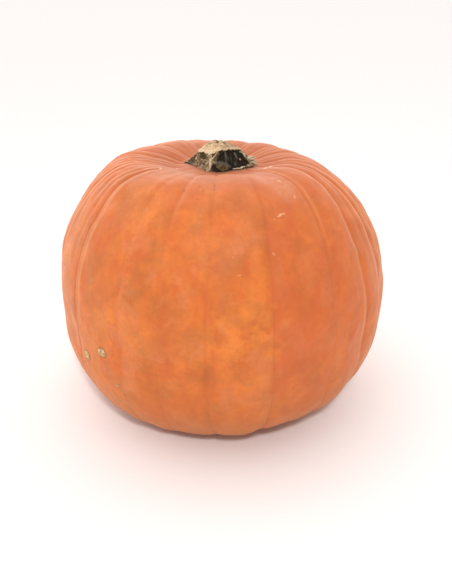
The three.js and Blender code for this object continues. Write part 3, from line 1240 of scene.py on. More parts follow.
    def build(self) -> bpy.types.Object:
        """Makes the skin's object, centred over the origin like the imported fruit.

        Returns:
            The new object.
        """
        points, traits = self.surface()
        low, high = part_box("fruit")
        wanted = (np.array(low) + np.array(high)) / 2.0
        flat = points.reshape(-1, 3)
        self.shift = wanted - (flat.min(axis=0) + flat.max(axis=0)) / 2.0
        self.shift[2] = -flat[:, 2].min()
        points = points + self.shift
        low_pole = points[0].mean(axis=0)
        high_pole = points[-1].mean(axis=0)
        LOG.info("%s: moved by %s", self.name, np.round(self.shift, 5))
        return closed_grid_mesh(self.name, points, low_pole, high_pole, traits)


@dataclass(frozen=True)
class RindFinish:
    """The waxy orange rind, mottled yellow and red orange, with its scars and stains, and with painted
    shade, painted sheen and painted highlights.

    A grain is a noise's scale, detail, roughness and warp. A ramp is where it starts and ends,
    and its results there if not 0 and 1. A bump is its strength and height.
    """

    orange: Colour = (0.635, 0.152, 0.024)
    yellow: Colour = (0.740, 0.218, 0.032)
    red: Colour = (0.545, 0.100, 0.028)
    # dull is the rind's own dull patches, and also the painted shade towards the base
    dull: Colour = (0.430, 0.135, 0.032)
    pink: Colour = (0.654, 0.206, 0.073)
    crown_bloom_and_painted_light: Colour = (0.560, 0.145, 0.052)
    hollow_shade_tone: Colour = (0.430, 0.125, 0.052)
    rind_stem_shadow_tone: Colour = (0.150, 0.060, 0.032)
    highlight_tone: Colour = (0.780, 0.330, 0.140)
    groove_shade_tone: Colour = (0.430, 0.077, 0.017)
    stain_tone: Colour = (0.330, 0.145, 0.040)
    haze_tone: Colour = (0.680, 0.310, 0.180)
    cork_tone: Colour = (0.800, 0.520, 0.240)
    cork_rim: Colour = (0.270, 0.110, 0.028)
    speck_tone: Colour = (0.230, 0.080, 0.010)
    scratch_tone: Colour = (0.800, 0.510, 0.290)
    blossom_tone: Colour = (0.330, 0.230, 0.130)
    gloss_grain: Numbers = (120.0, 4.0, 0.6)
    gloss_ramp: Numbers = (0.30, 0.70, 0.50, 0.62)
    streak_stretch: Numbers = (1.0, 1.0, 0.30)
    broad_grain: Numbers = (15.0, 2.0, 0.5, 0.4)
    blotch_grain: Numbers = (52.0, 4.0, 0.55, 0.25)
    fleck_grain: Numbers = (125.0, 4.0, 0.6, 0.2)
    cloud_grain: Numbers = (48.0, 4.0, 0.6, 0.15)
    cloud_step: float = 0.7
    blush_grain: Numbers = (42.0, 4.0, 0.6, 0.4)
    blush_step: float = 1.3
    fine_grain: Numbers = (260.0, 3.0, 0.6)
    streak_grain: Numbers = (60.0, 3.0, 0.6, 0.2)
    glow_share: float = 0.60
    broad_ramp: Numbers = (0.38, 0.64, 0.05, 0.45)
    patch_ramp: Numbers = (0.47, 0.56)
    fleck_ramp: Numbers = (0.52, 0.58, 0.0, 0.80)
    streak_ramp: Numbers = (0.46, 0.66, 0.0, 0.40)
    spared_ramp: Numbers = (0.0, 0.8, 1.0, 0.45)
    cloud_ramp: Numbers = (0.47, 0.62, 0.0, 0.45)
    blush_ramp: Numbers = (0.51, 0.60, 0.0, 0.40)
    pink_ramp: Numbers = (0.52, 0.40, 0.0, 0.15)
    fine_ramp: Numbers = (0.48, 0.70, 0.0, 0.25)
    shade_grain: Numbers = (72.0, 4.0, 0.6, 0.0)
    shade_step: float = 2.1
    shade_ramp: Numbers = (0.36, 0.64, 0.94, 1.05)
    painted_shade_ramp: Numbers = (0.0, 1.0, 1.0, 0.82)
    tone_ramp: Numbers = (0.60, 0.42, 0.42, 0.68)
    base_shade_share: float = 0.62
    crown_bloom_and_painted_light_share: float = 0.65
    hollow_shade_share: float = 0.55
    valley_shade_share: float = 0.25
    fold_shade_share: float = 0.5
    crease_shade_share: float = 0.50
    highlight_break_ramp: Numbers = (0.35, 0.60, 0.25, 0.85)
    rind_stem_shadow_ramp: Numbers = (0.35, 0.55, 0.35, 0.85)
    dust_grain: Numbers = (230.0, 4.0, 0.65, 0.5)
    dust_ramp: Numbers = (0.36, 0.62)
    stain_share: float = 0.45
    wax_ramp: Numbers = (0.30, 0.66, 0.3, 1.0)
    haze_share: float = 0.55
    pore_scale: float = 260.0
    pore_ramp: Numbers = (0.05, 0.13, 1.0, 0.0)
    pore_places: Numbers = (45.0, 2.0)
    rare_ramp: Numbers = (0.56, 0.66)
    pore_share: float = 0.35
    ruffle_grain: Numbers = (420.0, 3.0, 0.6)
    ruffle_size: float = 0.0024
    scratch_fade: Numbers = (0.35, 1.25)
    speck_fade: Numbers = (0.30, 1.30)
    speck_share: float = 0.85
    rim_fade: Numbers = (0.92, 1.30)
    rim_share: float = 0.80
    crust_fade: Numbers = (0.70, 1.02)
    crust_grain: Numbers = (620.0, 4.0, 0.7)
    crust_ramp: Numbers = (0.38, 0.62, 0.42, 1.10)
    blossom_share: float = 0.85
    pit_grain: Numbers = (900.0, 2.0, 0.6)
    pit_bump: Numbers = (0.10, 0.0004)
    ripple_grain: Numbers = (150.0, 3.0, 0.5)
    ripple_bump: Numbers = (0.16, 0.0012)
    crack_grain: Numbers = (1200.0, 4.0, 0.7)
    crack_bump: Numbers = (0.8, 0.0008)

    def material(self, form: FruitForm) -> bpy.types.Material:
        """Builds the node material.

        Args:
            form: The form that the marks lie on.

        Returns:
            The finished material.
        """
        shader = Shader("rind")
        base = self.mottling(shader)
        base, raised = self.scars(shader, base, form)
        normal = self.relief(shader, raised)
        gloss = shader.noise(*self.gloss_grain)
        rough = shader.window(gloss, *self.gloss_ramp)
        return shader.finish(base, rough, normal, {
            "IOR": 1.45,
            "Specular IOR Level": 0.35,
            "Subsurface Weight": 0.08,
            "Subsurface Radius": (1.0, 0.35, 0.12),
            "Subsurface Scale": 0.003,
            "Sheen Weight": 0.20,
            "Sheen Tint": (1.0, 0.62, 0.35, 1.0),
            "Sheen Roughness": 0.5,
        })

    def mottling(self, shader: Shader) -> Socket:
        """The rind's colour without its scars: broad patches, blotches, streaks and fine grain, with painted
        shade in the grooves, the hollow, broad patches and towards the base, painted sheen and shade on the
        crown, painted highlights along the ribs and the stem's painted shadow round its foot.

        Args:
            shader: The material that is being built.

        Returns:
            The colour.
        """
        streaks = shader.stretched(self.streak_stretch)
        broad = shader.noise(*self.broad_grain)
        blotch = shader.noise(*self.blotch_grain)
        fleck = shader.noise(*self.fleck_grain)
        cloud = shader.noise(*self.cloud_grain, shader.moved(self.cloud_step))
        blush = shader.noise(*self.blush_grain, shader.moved(self.blush_step))
        fine = shader.noise(*self.fine_grain)
        streak = shader.noise(*self.streak_grain, streaks)
        warm = shader.work_out("ADD", shader.trait("glow", self.glow_share),
                               shader.window(broad, *self.broad_ramp))
        patches = shader.times(warm, shader.window(blotch, *self.patch_ramp))
        flecks = shader.times(shader.window(fleck, *self.fleck_ramp), warm)
        spared = shader.window(shader.trait("glow"), *self.spared_ramp)
        colour = shader.layers(self.orange, (
            (patches, self.yellow),
            (flecks, self.yellow),
            (shader.window(streak, *self.streak_ramp), self.red),
            (shader.times(shader.window(cloud, *self.cloud_ramp), spared), self.dull),
            (shader.window(blush, *self.blush_ramp), self.pink),
            (shader.window(streak, *self.pink_ramp), self.pink),
            (shader.window(fine, *self.fine_ramp), self.red),
        ))
        # The next noise varies the rind's own lightness at random; the shade marks then darken it as painted
        # shade.
        shade = shader.noise(*self.shade_grain, shader.moved(self.shade_step))
        for light in (shader.window(shade, *self.shade_ramp),
                      shader.window(shader.trait("shade"), *self.painted_shade_ramp)):
            colour = shader.mix(1.0, colour, light, "MULTIPLY")
        # painted shade in the creases and the folds
        fold = shader.trait("fold", self.fold_shade_share)
        crease = shader.work_out("ADD", shader.trait("crease"), fold)
        return shader.layers(colour, (
            (shader.times(shader.trait("tone"), shader.window(blotch, *self.tone_ramp)), self.red),
            # painted shade: duller and darker towards the base
            (shader.trait("low", self.base_shade_share), self.dull),
            # The crown's duller, pinker top: partly the rind's waxy bloom, partly painted sheen and shade.
            (shader.times(shader.trait("crown", self.crown_bloom_and_painted_light_share), spared), self.crown_bloom_and_painted_light),
            # painted shade in the hollow round the stem
            (shader.trait("hollow_shade", self.hollow_shade_share), self.hollow_shade_tone),
            # painted shade: redder in the broad valleys, darker in the creases and folds
            (shader.trait("valley", self.valley_shade_share), self.red),
            (shader.times(crease, self.crease_shade_share), self.groove_shade_tone),
            # painted highlights along the rib shoulders
            (shader.times(shader.trait("pale"), shader.window(streak, *self.highlight_break_ramp)), self.highlight_tone),
            # painted shadow of the stem on the rind round its foot
            (shader.times(shader.trait("rind_stem_shadow"), shader.window(fleck, *self.rind_stem_shadow_ramp)), self.rind_stem_shadow_tone),
        ))

    def scars(self, shader: Shader, base: Socket, form: FruitForm) -> Tuple[Socket, Socket]:
        """Lays stains, wax, scratches, specks and corky scabs over the rind.

        Args:
            shader: The material that is being built.
            base: The rind's colour so far.
            form: Where the marks lie.

        Returns:
            The new colour, and the mask of the raised corky places.
        """
        placed = {kind: [form.place(mark) for mark in MARKS if mark.kind is kind]
                  for kind in (MarkKind.SCAB, MarkKind.SPECK, MarkKind.SCRATCH)}
        cloud = shader.noise(*self.dust_grain)
        dusty = shader.times(shader.trait("smudge"), shader.window(cloud, *self.dust_ramp))
        waxy = shader.times(shader.trait("haze"), shader.window(cloud, *self.wax_ramp))
        pores = shader.window(shader.cells(self.pore_scale), *self.pore_ramp)
        rare = shader.window(shader.noise(*self.pore_places), *self.rare_ramp)
        pores = shader.times(pores, rare)
        place = shader.ruffled(shader.noise(*self.ruffle_grain, colour=True), self.ruffle_size)
        scratch = shader.all_spots(placed[MarkKind.SCRATCH], place, *self.scratch_fade)
        speck = shader.all_spots(placed[MarkKind.SPECK], place, *self.speck_fade)
        rim = shader.all_spots(placed[MarkKind.SCAB], place, *self.rim_fade)
        crust = shader.all_spots(placed[MarkKind.SCAB], place, *self.crust_fade)
        grain = shader.window(shader.noise(*self.crust_grain), *self.crust_ramp)
        colour = shader.layers(base, (
            (shader.times(dusty, self.stain_share), self.stain_tone),
            (shader.times(waxy, self.haze_share), self.haze_tone),
            (shader.times(pores, self.pore_share), self.stain_tone),
            (scratch, self.scratch_tone),
            (shader.times(speck, self.speck_share), self.speck_tone),
            (shader.times(rim, self.rim_share), self.cork_rim),
            (crust, shader.mix(1.0, self.cork_tone, grain, "MULTIPLY")),
            (shader.trait("blossom", self.blossom_share), self.blossom_tone),
        ))
        return colour, crust

    def relief(self, shader: Shader, crust: Socket) -> Socket:
        """Fine unevenness of the rind: pores, faint ripples and the cracked cork of the scabs.

        Args:
            shader: The material that is being built.
            crust: The mask of the scabs.

        Returns:
            The bent normal.
        """
        pores = shader.noise(*self.pit_grain)
        normal = shader.bump(pores, *self.pit_bump)
        ripple = shader.noise(*self.ripple_grain)
        normal = shader.bump(ripple, *self.ripple_bump, normal)
        cracks = shader.times(shader.noise(*self.crack_grain), crust)
        return shader.bump(cracks, *self.crack_bump, normal)


class Tone(Enum):
    """A finish that shows on the stem's flank, or painted shadow at its foot, kept on its mesh as a mask of
    that name.
    """

    CORK = "pale dry cork"
    OLIVE = "olive brown bark"
    DARK = "green black furrowed bark"
    GREY = "grey weathered streak"
    # The dark red brown rim is painted shadow along the flank's foot, where the stem meets the rind.
    FLANK_FOOT_SHADOW = "dark red brown rim"


@dataclass(frozen=True)
class Patch:
    """One patch of a tone on the stem's flank.

    Attributes:
        tone: Its finish.
        angle: Degrees around the stem.
        up: Share of the way from the foot to the torn edge.
        wide: Width in degrees.
        tall: Height as a share of the flank.
        lean: Degrees that it turns from the flank's foot to its edge.
        strength: How strongly it shows, up to 1.
    """

    tone: Tone
    angle: float
    up: float
    wide: float
    tall: float
    lean: float = 0.0
    strength: float = 1.0


STEM_RIDGES = ((-150.0, -150.0), (-107.0, -112.0), (-74.0, -76.0), (-20.0, -26.0), (60.0, 64.0),
               (100.0, 96.0), (138.0, 142.0), (180.0, 176.0))

# A row is an angle, a height on the flank, a width and a height, and a lean and a strength if any.
STEM_PATCHES = tuple(Patch(tone, *row) for tone, rows in {
    Tone.DARK: (
        (27.0, 0.50, 70.0, 0.98, 3.0), (-7.0, 0.17, 19.0, 0.44), (84.0, 0.50, 22.0, 0.80, 0.0, 0.9),
        (119.0, 0.50, 28.0, 0.80), (159.0, 0.50, 26.0, 0.80), (-166.0, 0.50, 24.0, 0.80),
        (-128.0, 0.50, 28.0, 0.80),
    ),
    Tone.OLIVE: (
        (-17.0, 0.86, 13.0, 0.20, 20.0), (-13.0, 0.52, 9.0, 0.26, 0.0, 0.5), (-52.0, 0.76, 30.0, 0.34),
        (-35.0, 0.60, 10.0, 0.30, 0.0, 0.55), (-37.0, 0.36, 11.0, 0.10, 0.0, 0.8),
        (-98.0, 0.50, 26.0, 0.76, 0.0, 0.9), (-62.0, 0.12, 14.0, 0.12, 0.0, 0.5),
    ),
    Tone.GREY: (
        (15.0, 0.76, 4.5, 0.30, 3.0, 0.9), (20.0, 0.60, 3.0, 0.22, 0.0, 0.5),
        (40.5, 0.70, 4.5, 0.32, -4.0, 0.9), (32.0, 0.32, 6.0, 0.20, 0.0, 0.6),
        (-91.0, 0.20, 14.0, 0.20, 0.0, 0.9), (122.0, 0.50, 5.0, 0.40, 0.0, 0.8),
        (-130.0, 0.60, 5.0, 0.30, 0.0, 0.8),
    ),
    Tone.CORK: (
        (46.5, 0.50, 4.0, 0.12, 0.0, 0.55), (-22.0, 0.62, 6.0, 0.94, -7.0, 0.72),
        (-12.5, 0.81, 4.0, 0.40, 44.0, 0.9), (-75.0, 0.62, 8.0, 0.40, 0.0, 0.8),
        (62.0, 0.78, 5.0, 0.50, 4.0, 0.8), (33.0, 0.115, 19.0, 0.045, 0.0, 0.75),
        (44.5, 0.150, 9.0, 0.050, 0.0, 0.75), (-112.0, 0.60, 6.0, 0.60, 0.0, 0.7),
        (138.0, 0.60, 7.0, 0.70, 0.0, 0.8),
    ),
    # Painted shadow along the flank's foot, where the stem meets the rind.
    Tone.FLANK_FOOT_SHADOW: (
        (54.0, 0.05, 18.0, 0.14), (-90.0, 0.05, 48.0, 0.16), (6.0, 0.03, 12.0, 0.08, 0.0, 0.8),
    ),
}.items() for row in rows)


@dataclass(frozen=True)
class Pit:
    """A pit in the torn top: millimetres to the right and back, its width and depth, and how dark its
    painted shade is.
    """

    right: float
    back: float
    wide: float
    deep: float
    dark: float


# A row is the place to the right and back, the width, the depth and the darkness of its painted shade.
PITS = tuple(Pit(*row) for row in (
    (-7.6, 6.4, 1.9, 0.9, 1.0), (-1.8, 7.4, 1.3, 0.7, 1.0), (2.2, 3.2, 0.9, 1.3, 0.7),
    (3.2, 5.4, 1.0, 1.3, 0.8), (4.2, 0.8, 0.8, 0.8, 0.6), (10.8, 1.0, 1.6, 1.0, 1.0),
    (12.4, -1.6, 1.2, 0.8, 0.7), (7.6, 4.0, 1.2, 0.8, 0.5), (-3.0, -5.0, 1.1, 0.7, 0.3),
    (-4.2, 4.6, 2.0, 0.6, 0.35), (-9.0, -3.0, 1.0, 0.5, 0.4), (5.4, -7.0, 1.1, 0.5, 0.3),
))


@dataclass
class StemStub:
    """The short dried stem: a lobed foot, worn ridges, sunk furrowed bark and a torn top."""

    form: FruitForm = field(default_factory=FruitForm)
    shift: np.ndarray = field(default_factory=lambda: np.zeros(3))
    columns: int = 540
    under_rings: int = 6
    side_rings: int = 116
    top_rings: int = 56
    middle_height: float = 0.0138
    sunk_foot: float = 0.0010
    pane_depth: float = 0.0011
    ridge_height: float = 0.0009
    furrow_depth: float = 0.00035
    bark_depth: float = 0.00035
    knob_angle: float = 5.0
    knob_up: float = 0.25
    knob_lean: float = -0.0050
    knob_height: float = 0.0022
    knob_half_width: float = 0.0056
    knob_half_height: float = 0.0025
    mean_radius: float = 0.02
    mean_height: float = 0.013
    rim_height: float = 0.0006
    lip_height: float = 0.0005
    patch_squareness: float = 2.6
    lip_up: float = 0.965
    fine_waves: int = 40
    top_bumps: Tuple[Tuple[float, float, int], ...] = (
        (0.00042, 0.0080, 26), (0.00030, 0.0030, 26), (0.00012, 0.0013, 40))
    seed: int = 53
    name: str = "stem_stub"
    ruffle_length: float = 0.0042
    fringe_length: float = 0.0013
    patch_edge: Numbers = (0.82, 1.12)
    wander_length: float = 0.0060
    ridge_width: float = 4.6
    rough_length: float = 0.0030
    fine_length: float = 0.0013
    furrow_length: float = 0.0030
    knob_edge: Numbers = (0.45, 1.05)
    rim_width: float = 0.20
    rim_start: Numbers = (-0.04, 0.06)
    lip_width: float = 0.030
    heart_edge: Numbers = (0.10, 0.45)
    torn_from: Numbers = (0.93, 0.975)
    edge_from: Numbers = (0.80, 0.95)
    calm_edge: Numbers = (-1.0, -0.6)

    def axis(self) -> np.ndarray:
        """Where the stem's middle stands on the fruit."""
        return self.form.skin(np.array(90.0), np.array(0.0)) + self.shift

    def reach(self, angle: np.ndarray, up: np.ndarray) -> np.ndarray:
        """The plain flank's radius: from the foot's to the top's as 1 - up to the power of the flare."""
        share = (1.0 - up) ** stem_outline("flare", angle)
        return blend(stem_outline("top", angle), stem_outline("foot", angle), share) * MM

    def seat(self, radius: np.ndarray, angle: np.ndarray) -> np.ndarray:
        """Height of the fruit's skin under a place beside the stem's axis."""
        latitude = np.degrees(np.arccos(np.clip(radius / self.form.half_width, 0.0, 1.0)))
        return self.form.skin(latitude, angle)[..., 2]

    def flank_places(self, angle: np.ndarray, up: np.ndarray) -> np.ndarray:
        """Where random fields are read on the flank: a cylinder of its mean size.

        Args:
            angle: Degrees around.
            up: Share of the way up the flank.

        Returns:
            The places, with the coordinates in a new last axis.
        """
        turn = np.radians(angle)
        parts = np.broadcast_arrays(np.cos(turn) * self.mean_radius, np.sin(turn) * self.mean_radius,
                                    up * self.mean_height)
        return np.stack(parts, axis=-1)

    def masks(self, angle: np.ndarray, up: np.ndarray) -> Layers:
        """How strongly each tone shows on the flank.

        A patch is full where its distance, the root of the summed powers of the shares
        of its half sizes, is small, and its edge is ruffled by two random fields.

        Args:
            angle: Degrees around.
            up: Share of the way up the flank.

        Returns:
            A mask for each tone, by its name in small letters.
        """
        places = self.flank_places(angle, up)
        ruffle = 0.13 * Ripple(self.ruffle_length, self.seed + 20).at(places)
        ruffle = ruffle + 0.08 * Ripple(self.fringe_length, self.seed + 21).at(places)
        masks = {tone.name.lower(): np.zeros(ruffle.shape) for tone in Tone}
        power = self.patch_squareness
        for patch in STEM_PATCHES:
            off = half_turn(angle - patch.angle - patch.lean * (up - patch.up))
            across = np.abs(2.0 * off / patch.wide)
            along = np.abs(2.0 * (up - patch.up) / patch.tall)
            far = across ** power + along ** power
            far = far ** (1.0 / power) + ruffle * min(1.0, 9.0 / patch.wide + 0.3)
            key = patch.tone.name.lower()
            masks[key] = np.maximum(masks[key], patch.strength * (1.0 - smooth_step(far, *self.patch_edge)))
        return masks

    def ridges(self, angle: np.ndarray, up: np.ndarray) -> np.ndarray:
        """The worn ridges between the bark panes: bells that turn a little on their way up.

        Args:
            angle: Degrees around.
            up: Share of the way up the flank.

        Returns:
            How strongly the ridges show at each place.
        """
        wander = 1.6 * Ripple(self.wander_length, self.seed + 3).at(self.flank_places(angle, up))
        total = np.zeros(wander.shape)
        for foot, top in STEM_RIDGES:
            off = half_turn(angle - blend(foot, top, up) + wander)
            total = np.maximum(total, hump(off, self.ridge_width))
        return total

    def side(self, angle: np.ndarray) -> Tuple[np.ndarray, Layers]:
        """The flank from the foot to the edge of the torn top.

        The plain flank is sunk in the bark panes, raised at the ridges, the lip of the torn
        top and the knob, and roughened by furrows and fine bark.

        Args:
            angle: Degrees around the stem, as a row.

        Returns:
            Places beside the stem's axis, and the traits of its finish.
        """
        up = np.linspace(0.0, 1.0, self.side_rings)[:, None]
        radius = self.reach(angle, up)
        places = self.flank_places(angle, up)
        tall = places * np.array([1.0, 1.0, 0.22])
        rough = Ripple(self.rough_length, self.seed).at(places)
        fine = Ripple(self.fine_length, self.seed + 1, self.fine_waves).at(places)
        furrow = Ripple(self.furrow_length, self.seed + 2, self.fine_waves).at(tall)
        masks = self.masks(angle, up)
        sunk = np.maximum(masks["dark"], 0.35 * masks["olive"])
        ridge = self.ridges(angle, up) * (0.75 + 0.25 * rough) * (1.0 - 0.8 * masks["dark"])
        off = angle - self.knob_angle
        over = up - self.knob_up - self.knob_lean * off
        knob_far = np.hypot(np.radians(off) * radius / self.knob_half_width,
                            over * self.middle_height / self.knob_half_height)
        knob = 1.0 - smooth_step(knob_far + 0.06 * rough, *self.knob_edge)
        rim = hump(knob_far - 0.95, self.rim_width) * smooth_step(over, *self.rim_start)
        lip = hump(up - self.lip_up, self.lip_width) * (0.7 + 0.3 * rough)
        radius = radius - self.pane_depth * sunk + self.ridge_height * ridge
        radius = radius + self.furrow_depth * furrow * (0.35 + 0.65 * sunk)
        radius = radius + self.bark_depth * (0.6 * rough + 0.4 * fine) * (1.0 - 0.4 * sunk)
        radius = radius + self.knob_height * knob + self.rim_height * rim + self.lip_height * lip
        turn = np.radians(angle)
        x, y = radius * np.sin(turn), -radius * np.cos(turn)
        low = self.seat(radius[0], angle) + self.shift[2] - self.axis()[2] - self.sunk_foot
        z = blend(low, self.torn_height(x[-1], y[-1]), up)
        flat = np.zeros(furrow.shape)
        traits = dict(masks)
        traits.update({
            "ridge": ridge,
            "knob": knob,
            "knob_rim": rim,
            "knob_heart": 1.0 - smooth_step(knob_far + 0.15 * fine, *self.heart_edge),
            "furrow": furrow,
            "torn": smooth_step(up + 0.010 * rough, *self.torn_from) + flat,
            "up": up + flat,
            "pit": self.pit_shade_mask(x, y),
            "rim": smooth_step(up, *self.edge_from) + flat,
        })
        return np.stack([x, y, z], axis=-1), traits

    def torn_height(self, x: np.ndarray, y: np.ndarray) -> np.ndarray:
        """Height of the torn top over the seat.

        It goes from the middle's height to the edge's with the square of the way out, with
        bumps of three sizes and a few pits.

        Args:
            x: Places beside the stem's axis, to the right.
            y: Places beside the stem's axis, to the back.

        Returns:
            The heights.
        """
        angle = np.degrees(np.arctan2(x, -y))
        reach = np.minimum(np.hypot(x, y) / (stem_outline("top", angle) * MM), 1.1)
        places = np.stack([x, y], axis=-1)
        bumps = 0.0
        for seed, (tall, length, waves) in enumerate(self.top_bumps, self.seed + 6):
            bumps = bumps + tall * Ripple(length, seed, waves).at(places)
        height = blend(self.middle_height, stem_outline("height", angle) * MM, reach ** 2)
        height = height + bumps * (0.3 + 0.7 * smooth_step(-reach, *self.calm_edge))
        for pit in PITS:
            far = np.hypot(x - pit.right * MM, y - pit.back * MM)
            height = height - pit.deep * MM * hump(far, pit.wide * MM)
        return height

    def pit_shade_mask(self, x: np.ndarray, y: np.ndarray) -> np.ndarray:
        """How dark the painted shade in the torn top's pits is at each place.

        Args:
            x: Places beside the stem's axis, to the right.
            y: Places beside the stem's axis, to the back.

        Returns:
            How dark each place is, as a share.
        """
        total = np.zeros(x.shape)
        for pit in PITS:
            far = np.hypot(x - pit.right * MM, (y - pit.back * MM) / 1.8)
            total = np.maximum(total, pit.dark * hump(far, pit.wide * MM))
        return total

    def build(self) -> bpy.types.Object:
        """Makes the stem's object: underside, flank and torn top as one closed grid.

        Returns:
            The new object.
        """
        angle = np.linspace(-180.0, 180.0, self.columns, endpoint=False)
        flank, traits = self.side(angle)
        axis = self.axis()
        shares = np.linspace(1.0, 0.0, self.top_rings + 2)[1:-1, None, None]
        cap = flank[-1][None] * shares
        cap[..., 2] = self.torn_height(cap[..., 0], cap[..., 1])
        under_shares = np.linspace(0.12, 0.94, self.under_rings)[:, None]
        under = flank[0][None] * under_shares[..., None]
        under[..., 2] = blend(-self.sunk_foot, flank[0][None, :, 2], under_shares)
        rings = np.concatenate([under, flank, cap])
        whole = {}
        tops = {
            "torn": np.ones(cap.shape[:2]),
            "up": np.ones(cap.shape[:2]),
            "pit": self.pit_shade_mask(cap[..., 0], cap[..., 1]),
            "rim": np.broadcast_to(smooth_step(shares[..., 0], *self.edge_from), cap.shape[:2]),
        }
        for key, values in traits.items():
            top = tops.get(key, np.zeros(cap.shape[:2]))
            whole[key] = np.concatenate([np.repeat(values[:1], self.under_rings, axis=0), values, top])
        low = np.array([0.0, 0.0, -self.sunk_foot])
        high = np.array([0.0, 0.0, float(self.torn_height(np.zeros(1), np.zeros(1))[0])])
        return closed_grid_mesh(self.name, rings + axis, low + axis, high + axis, whole)


@dataclass(frozen=True)
class Shred:
    """One torn fibre: where it leaves the flank, how far it stands out and rises, and its width."""

    angle: float
    up: float
    out: float
    rise: float
    wide: float


@dataclass
class StemShreds:
    """Frayed fibres that stand off the stem's right flank, as thin tapered blades."""

    stem: StemStub
    shreds: Tuple[Shred, ...] = (
        Shred(72.0, 0.42, 0.0024, 0.0010, 0.0026),
        Shred(79.0, 0.30, 0.0036, 0.0004, 0.0032),
        Shred(86.0, 0.40, 0.0036, 0.0012, 0.0026),
        Shred(90.0, 0.20, 0.0040, -0.0002, 0.0034),
        Shred(97.0, 0.30, 0.0036, 0.0006, 0.0030),
        Shred(83.0, 0.12, 0.0042, -0.0004, 0.0028),
        Shred(104.0, 0.20, 0.0032, 0.0004, 0.0030),
        Shred(76.0, 0.20, 0.0032, 0.0008, 0.0022),
        Shred(94.0, 0.08, 0.0042, -0.0006, 0.0022),
        Shred(88.0, 0.30, 0.0044, 0.0000, 0.0018),
    )
    rings: int = 14
    columns: int = 10
    thickness: float = 0.45
    root_depth: float = 0.0020
    seed: int = 71
    name: str = "stem_shreds"

    def blade(self, shred: Shred, rng: np.random.Generator) -> Tuple[np.ndarray, np.ndarray, np.ndarray]:
        """One blade as rings around a bent path, with the places of its two ends.

        The path leaves the flank outwards and rises with the square of its way. The section is
        an oval whose size falls as the root of 1 minus the way.

        Args:
            shred: The fibre.
            rng: Where its chance values come from.

        Returns:
            The rings, and the places of the root and the tip.
        """
        along = np.linspace(0.0, 1.0, self.rings)[:, None]
        angle = np.radians(shred.angle)
        start = float(self.stem.reach(np.array(shred.angle), np.array(shred.up))) - self.root_depth
        height = shred.up * float(stem_outline("height", np.array(shred.angle))) * MM
        reach = start + (shred.out + self.root_depth) * along
        sway = np.radians(rng.uniform(-9.0, 9.0)) * along ** 2
        lift = height + shred.rise * along ** 2
        outward = np.array([math.sin(angle), -math.cos(angle), 0.0])
        sideways = np.array([math.cos(angle), math.sin(angle), 0.0])
        path = outward * reach * np.cos(sway) + sideways * reach * np.sin(sway)
        path = path + np.array([0.0, 0.0, 1.0]) * lift + self.stem.axis()
        waist = 1.0 + 0.15 * np.sin(9.0 * along + rng.uniform(0.0, 6.0))
        size = shred.wide / 2.0 * np.sqrt(1.03 - along) * waist
        around = np.linspace(0.0, 2.0 * math.pi, self.columns, endpoint=False)
        tilt = rng.uniform(-0.8, 0.8)
        flat = sideways * math.cos(tilt) + np.array([0.0, 0.0, math.sin(tilt)])
        thin = np.cross(outward, flat)
        oval = (np.cos(around)[None, :, None] * flat + self.thickness * np.sin(around)[None, :, None] * thin)
        rings = path[:, None, :] + size[..., None] * oval
        return rings, path[0], path[-1] + outward * 0.0002

    def build(self) -> bpy.types.Object:
        """Makes all blades as one object of closed shells.

        Returns:
            The new object.
        """
        rng = np.random.default_rng(self.seed)
        places, faces, start = [], [], 0
        for shred in self.shreds:
            rings, low, high = self.blade(shred, rng)
            places.extend([low[None], rings.reshape(-1, 3), high[None]])
            quads, caps = shell_faces(self.rings, self.columns, start)
            faces.extend(quads.tolist() + caps.tolist())
            start = start + self.rings * self.columns + 2
        mesh = bpy.data.meshes.new(self.name)
        mesh.from_pydata(np.concatenate(places).tolist(), [], faces)
        mesh.polygons.foreach_set("use_smooth", np.ones(len(mesh.polygons), bool))
        return add_object(self.name, mesh)


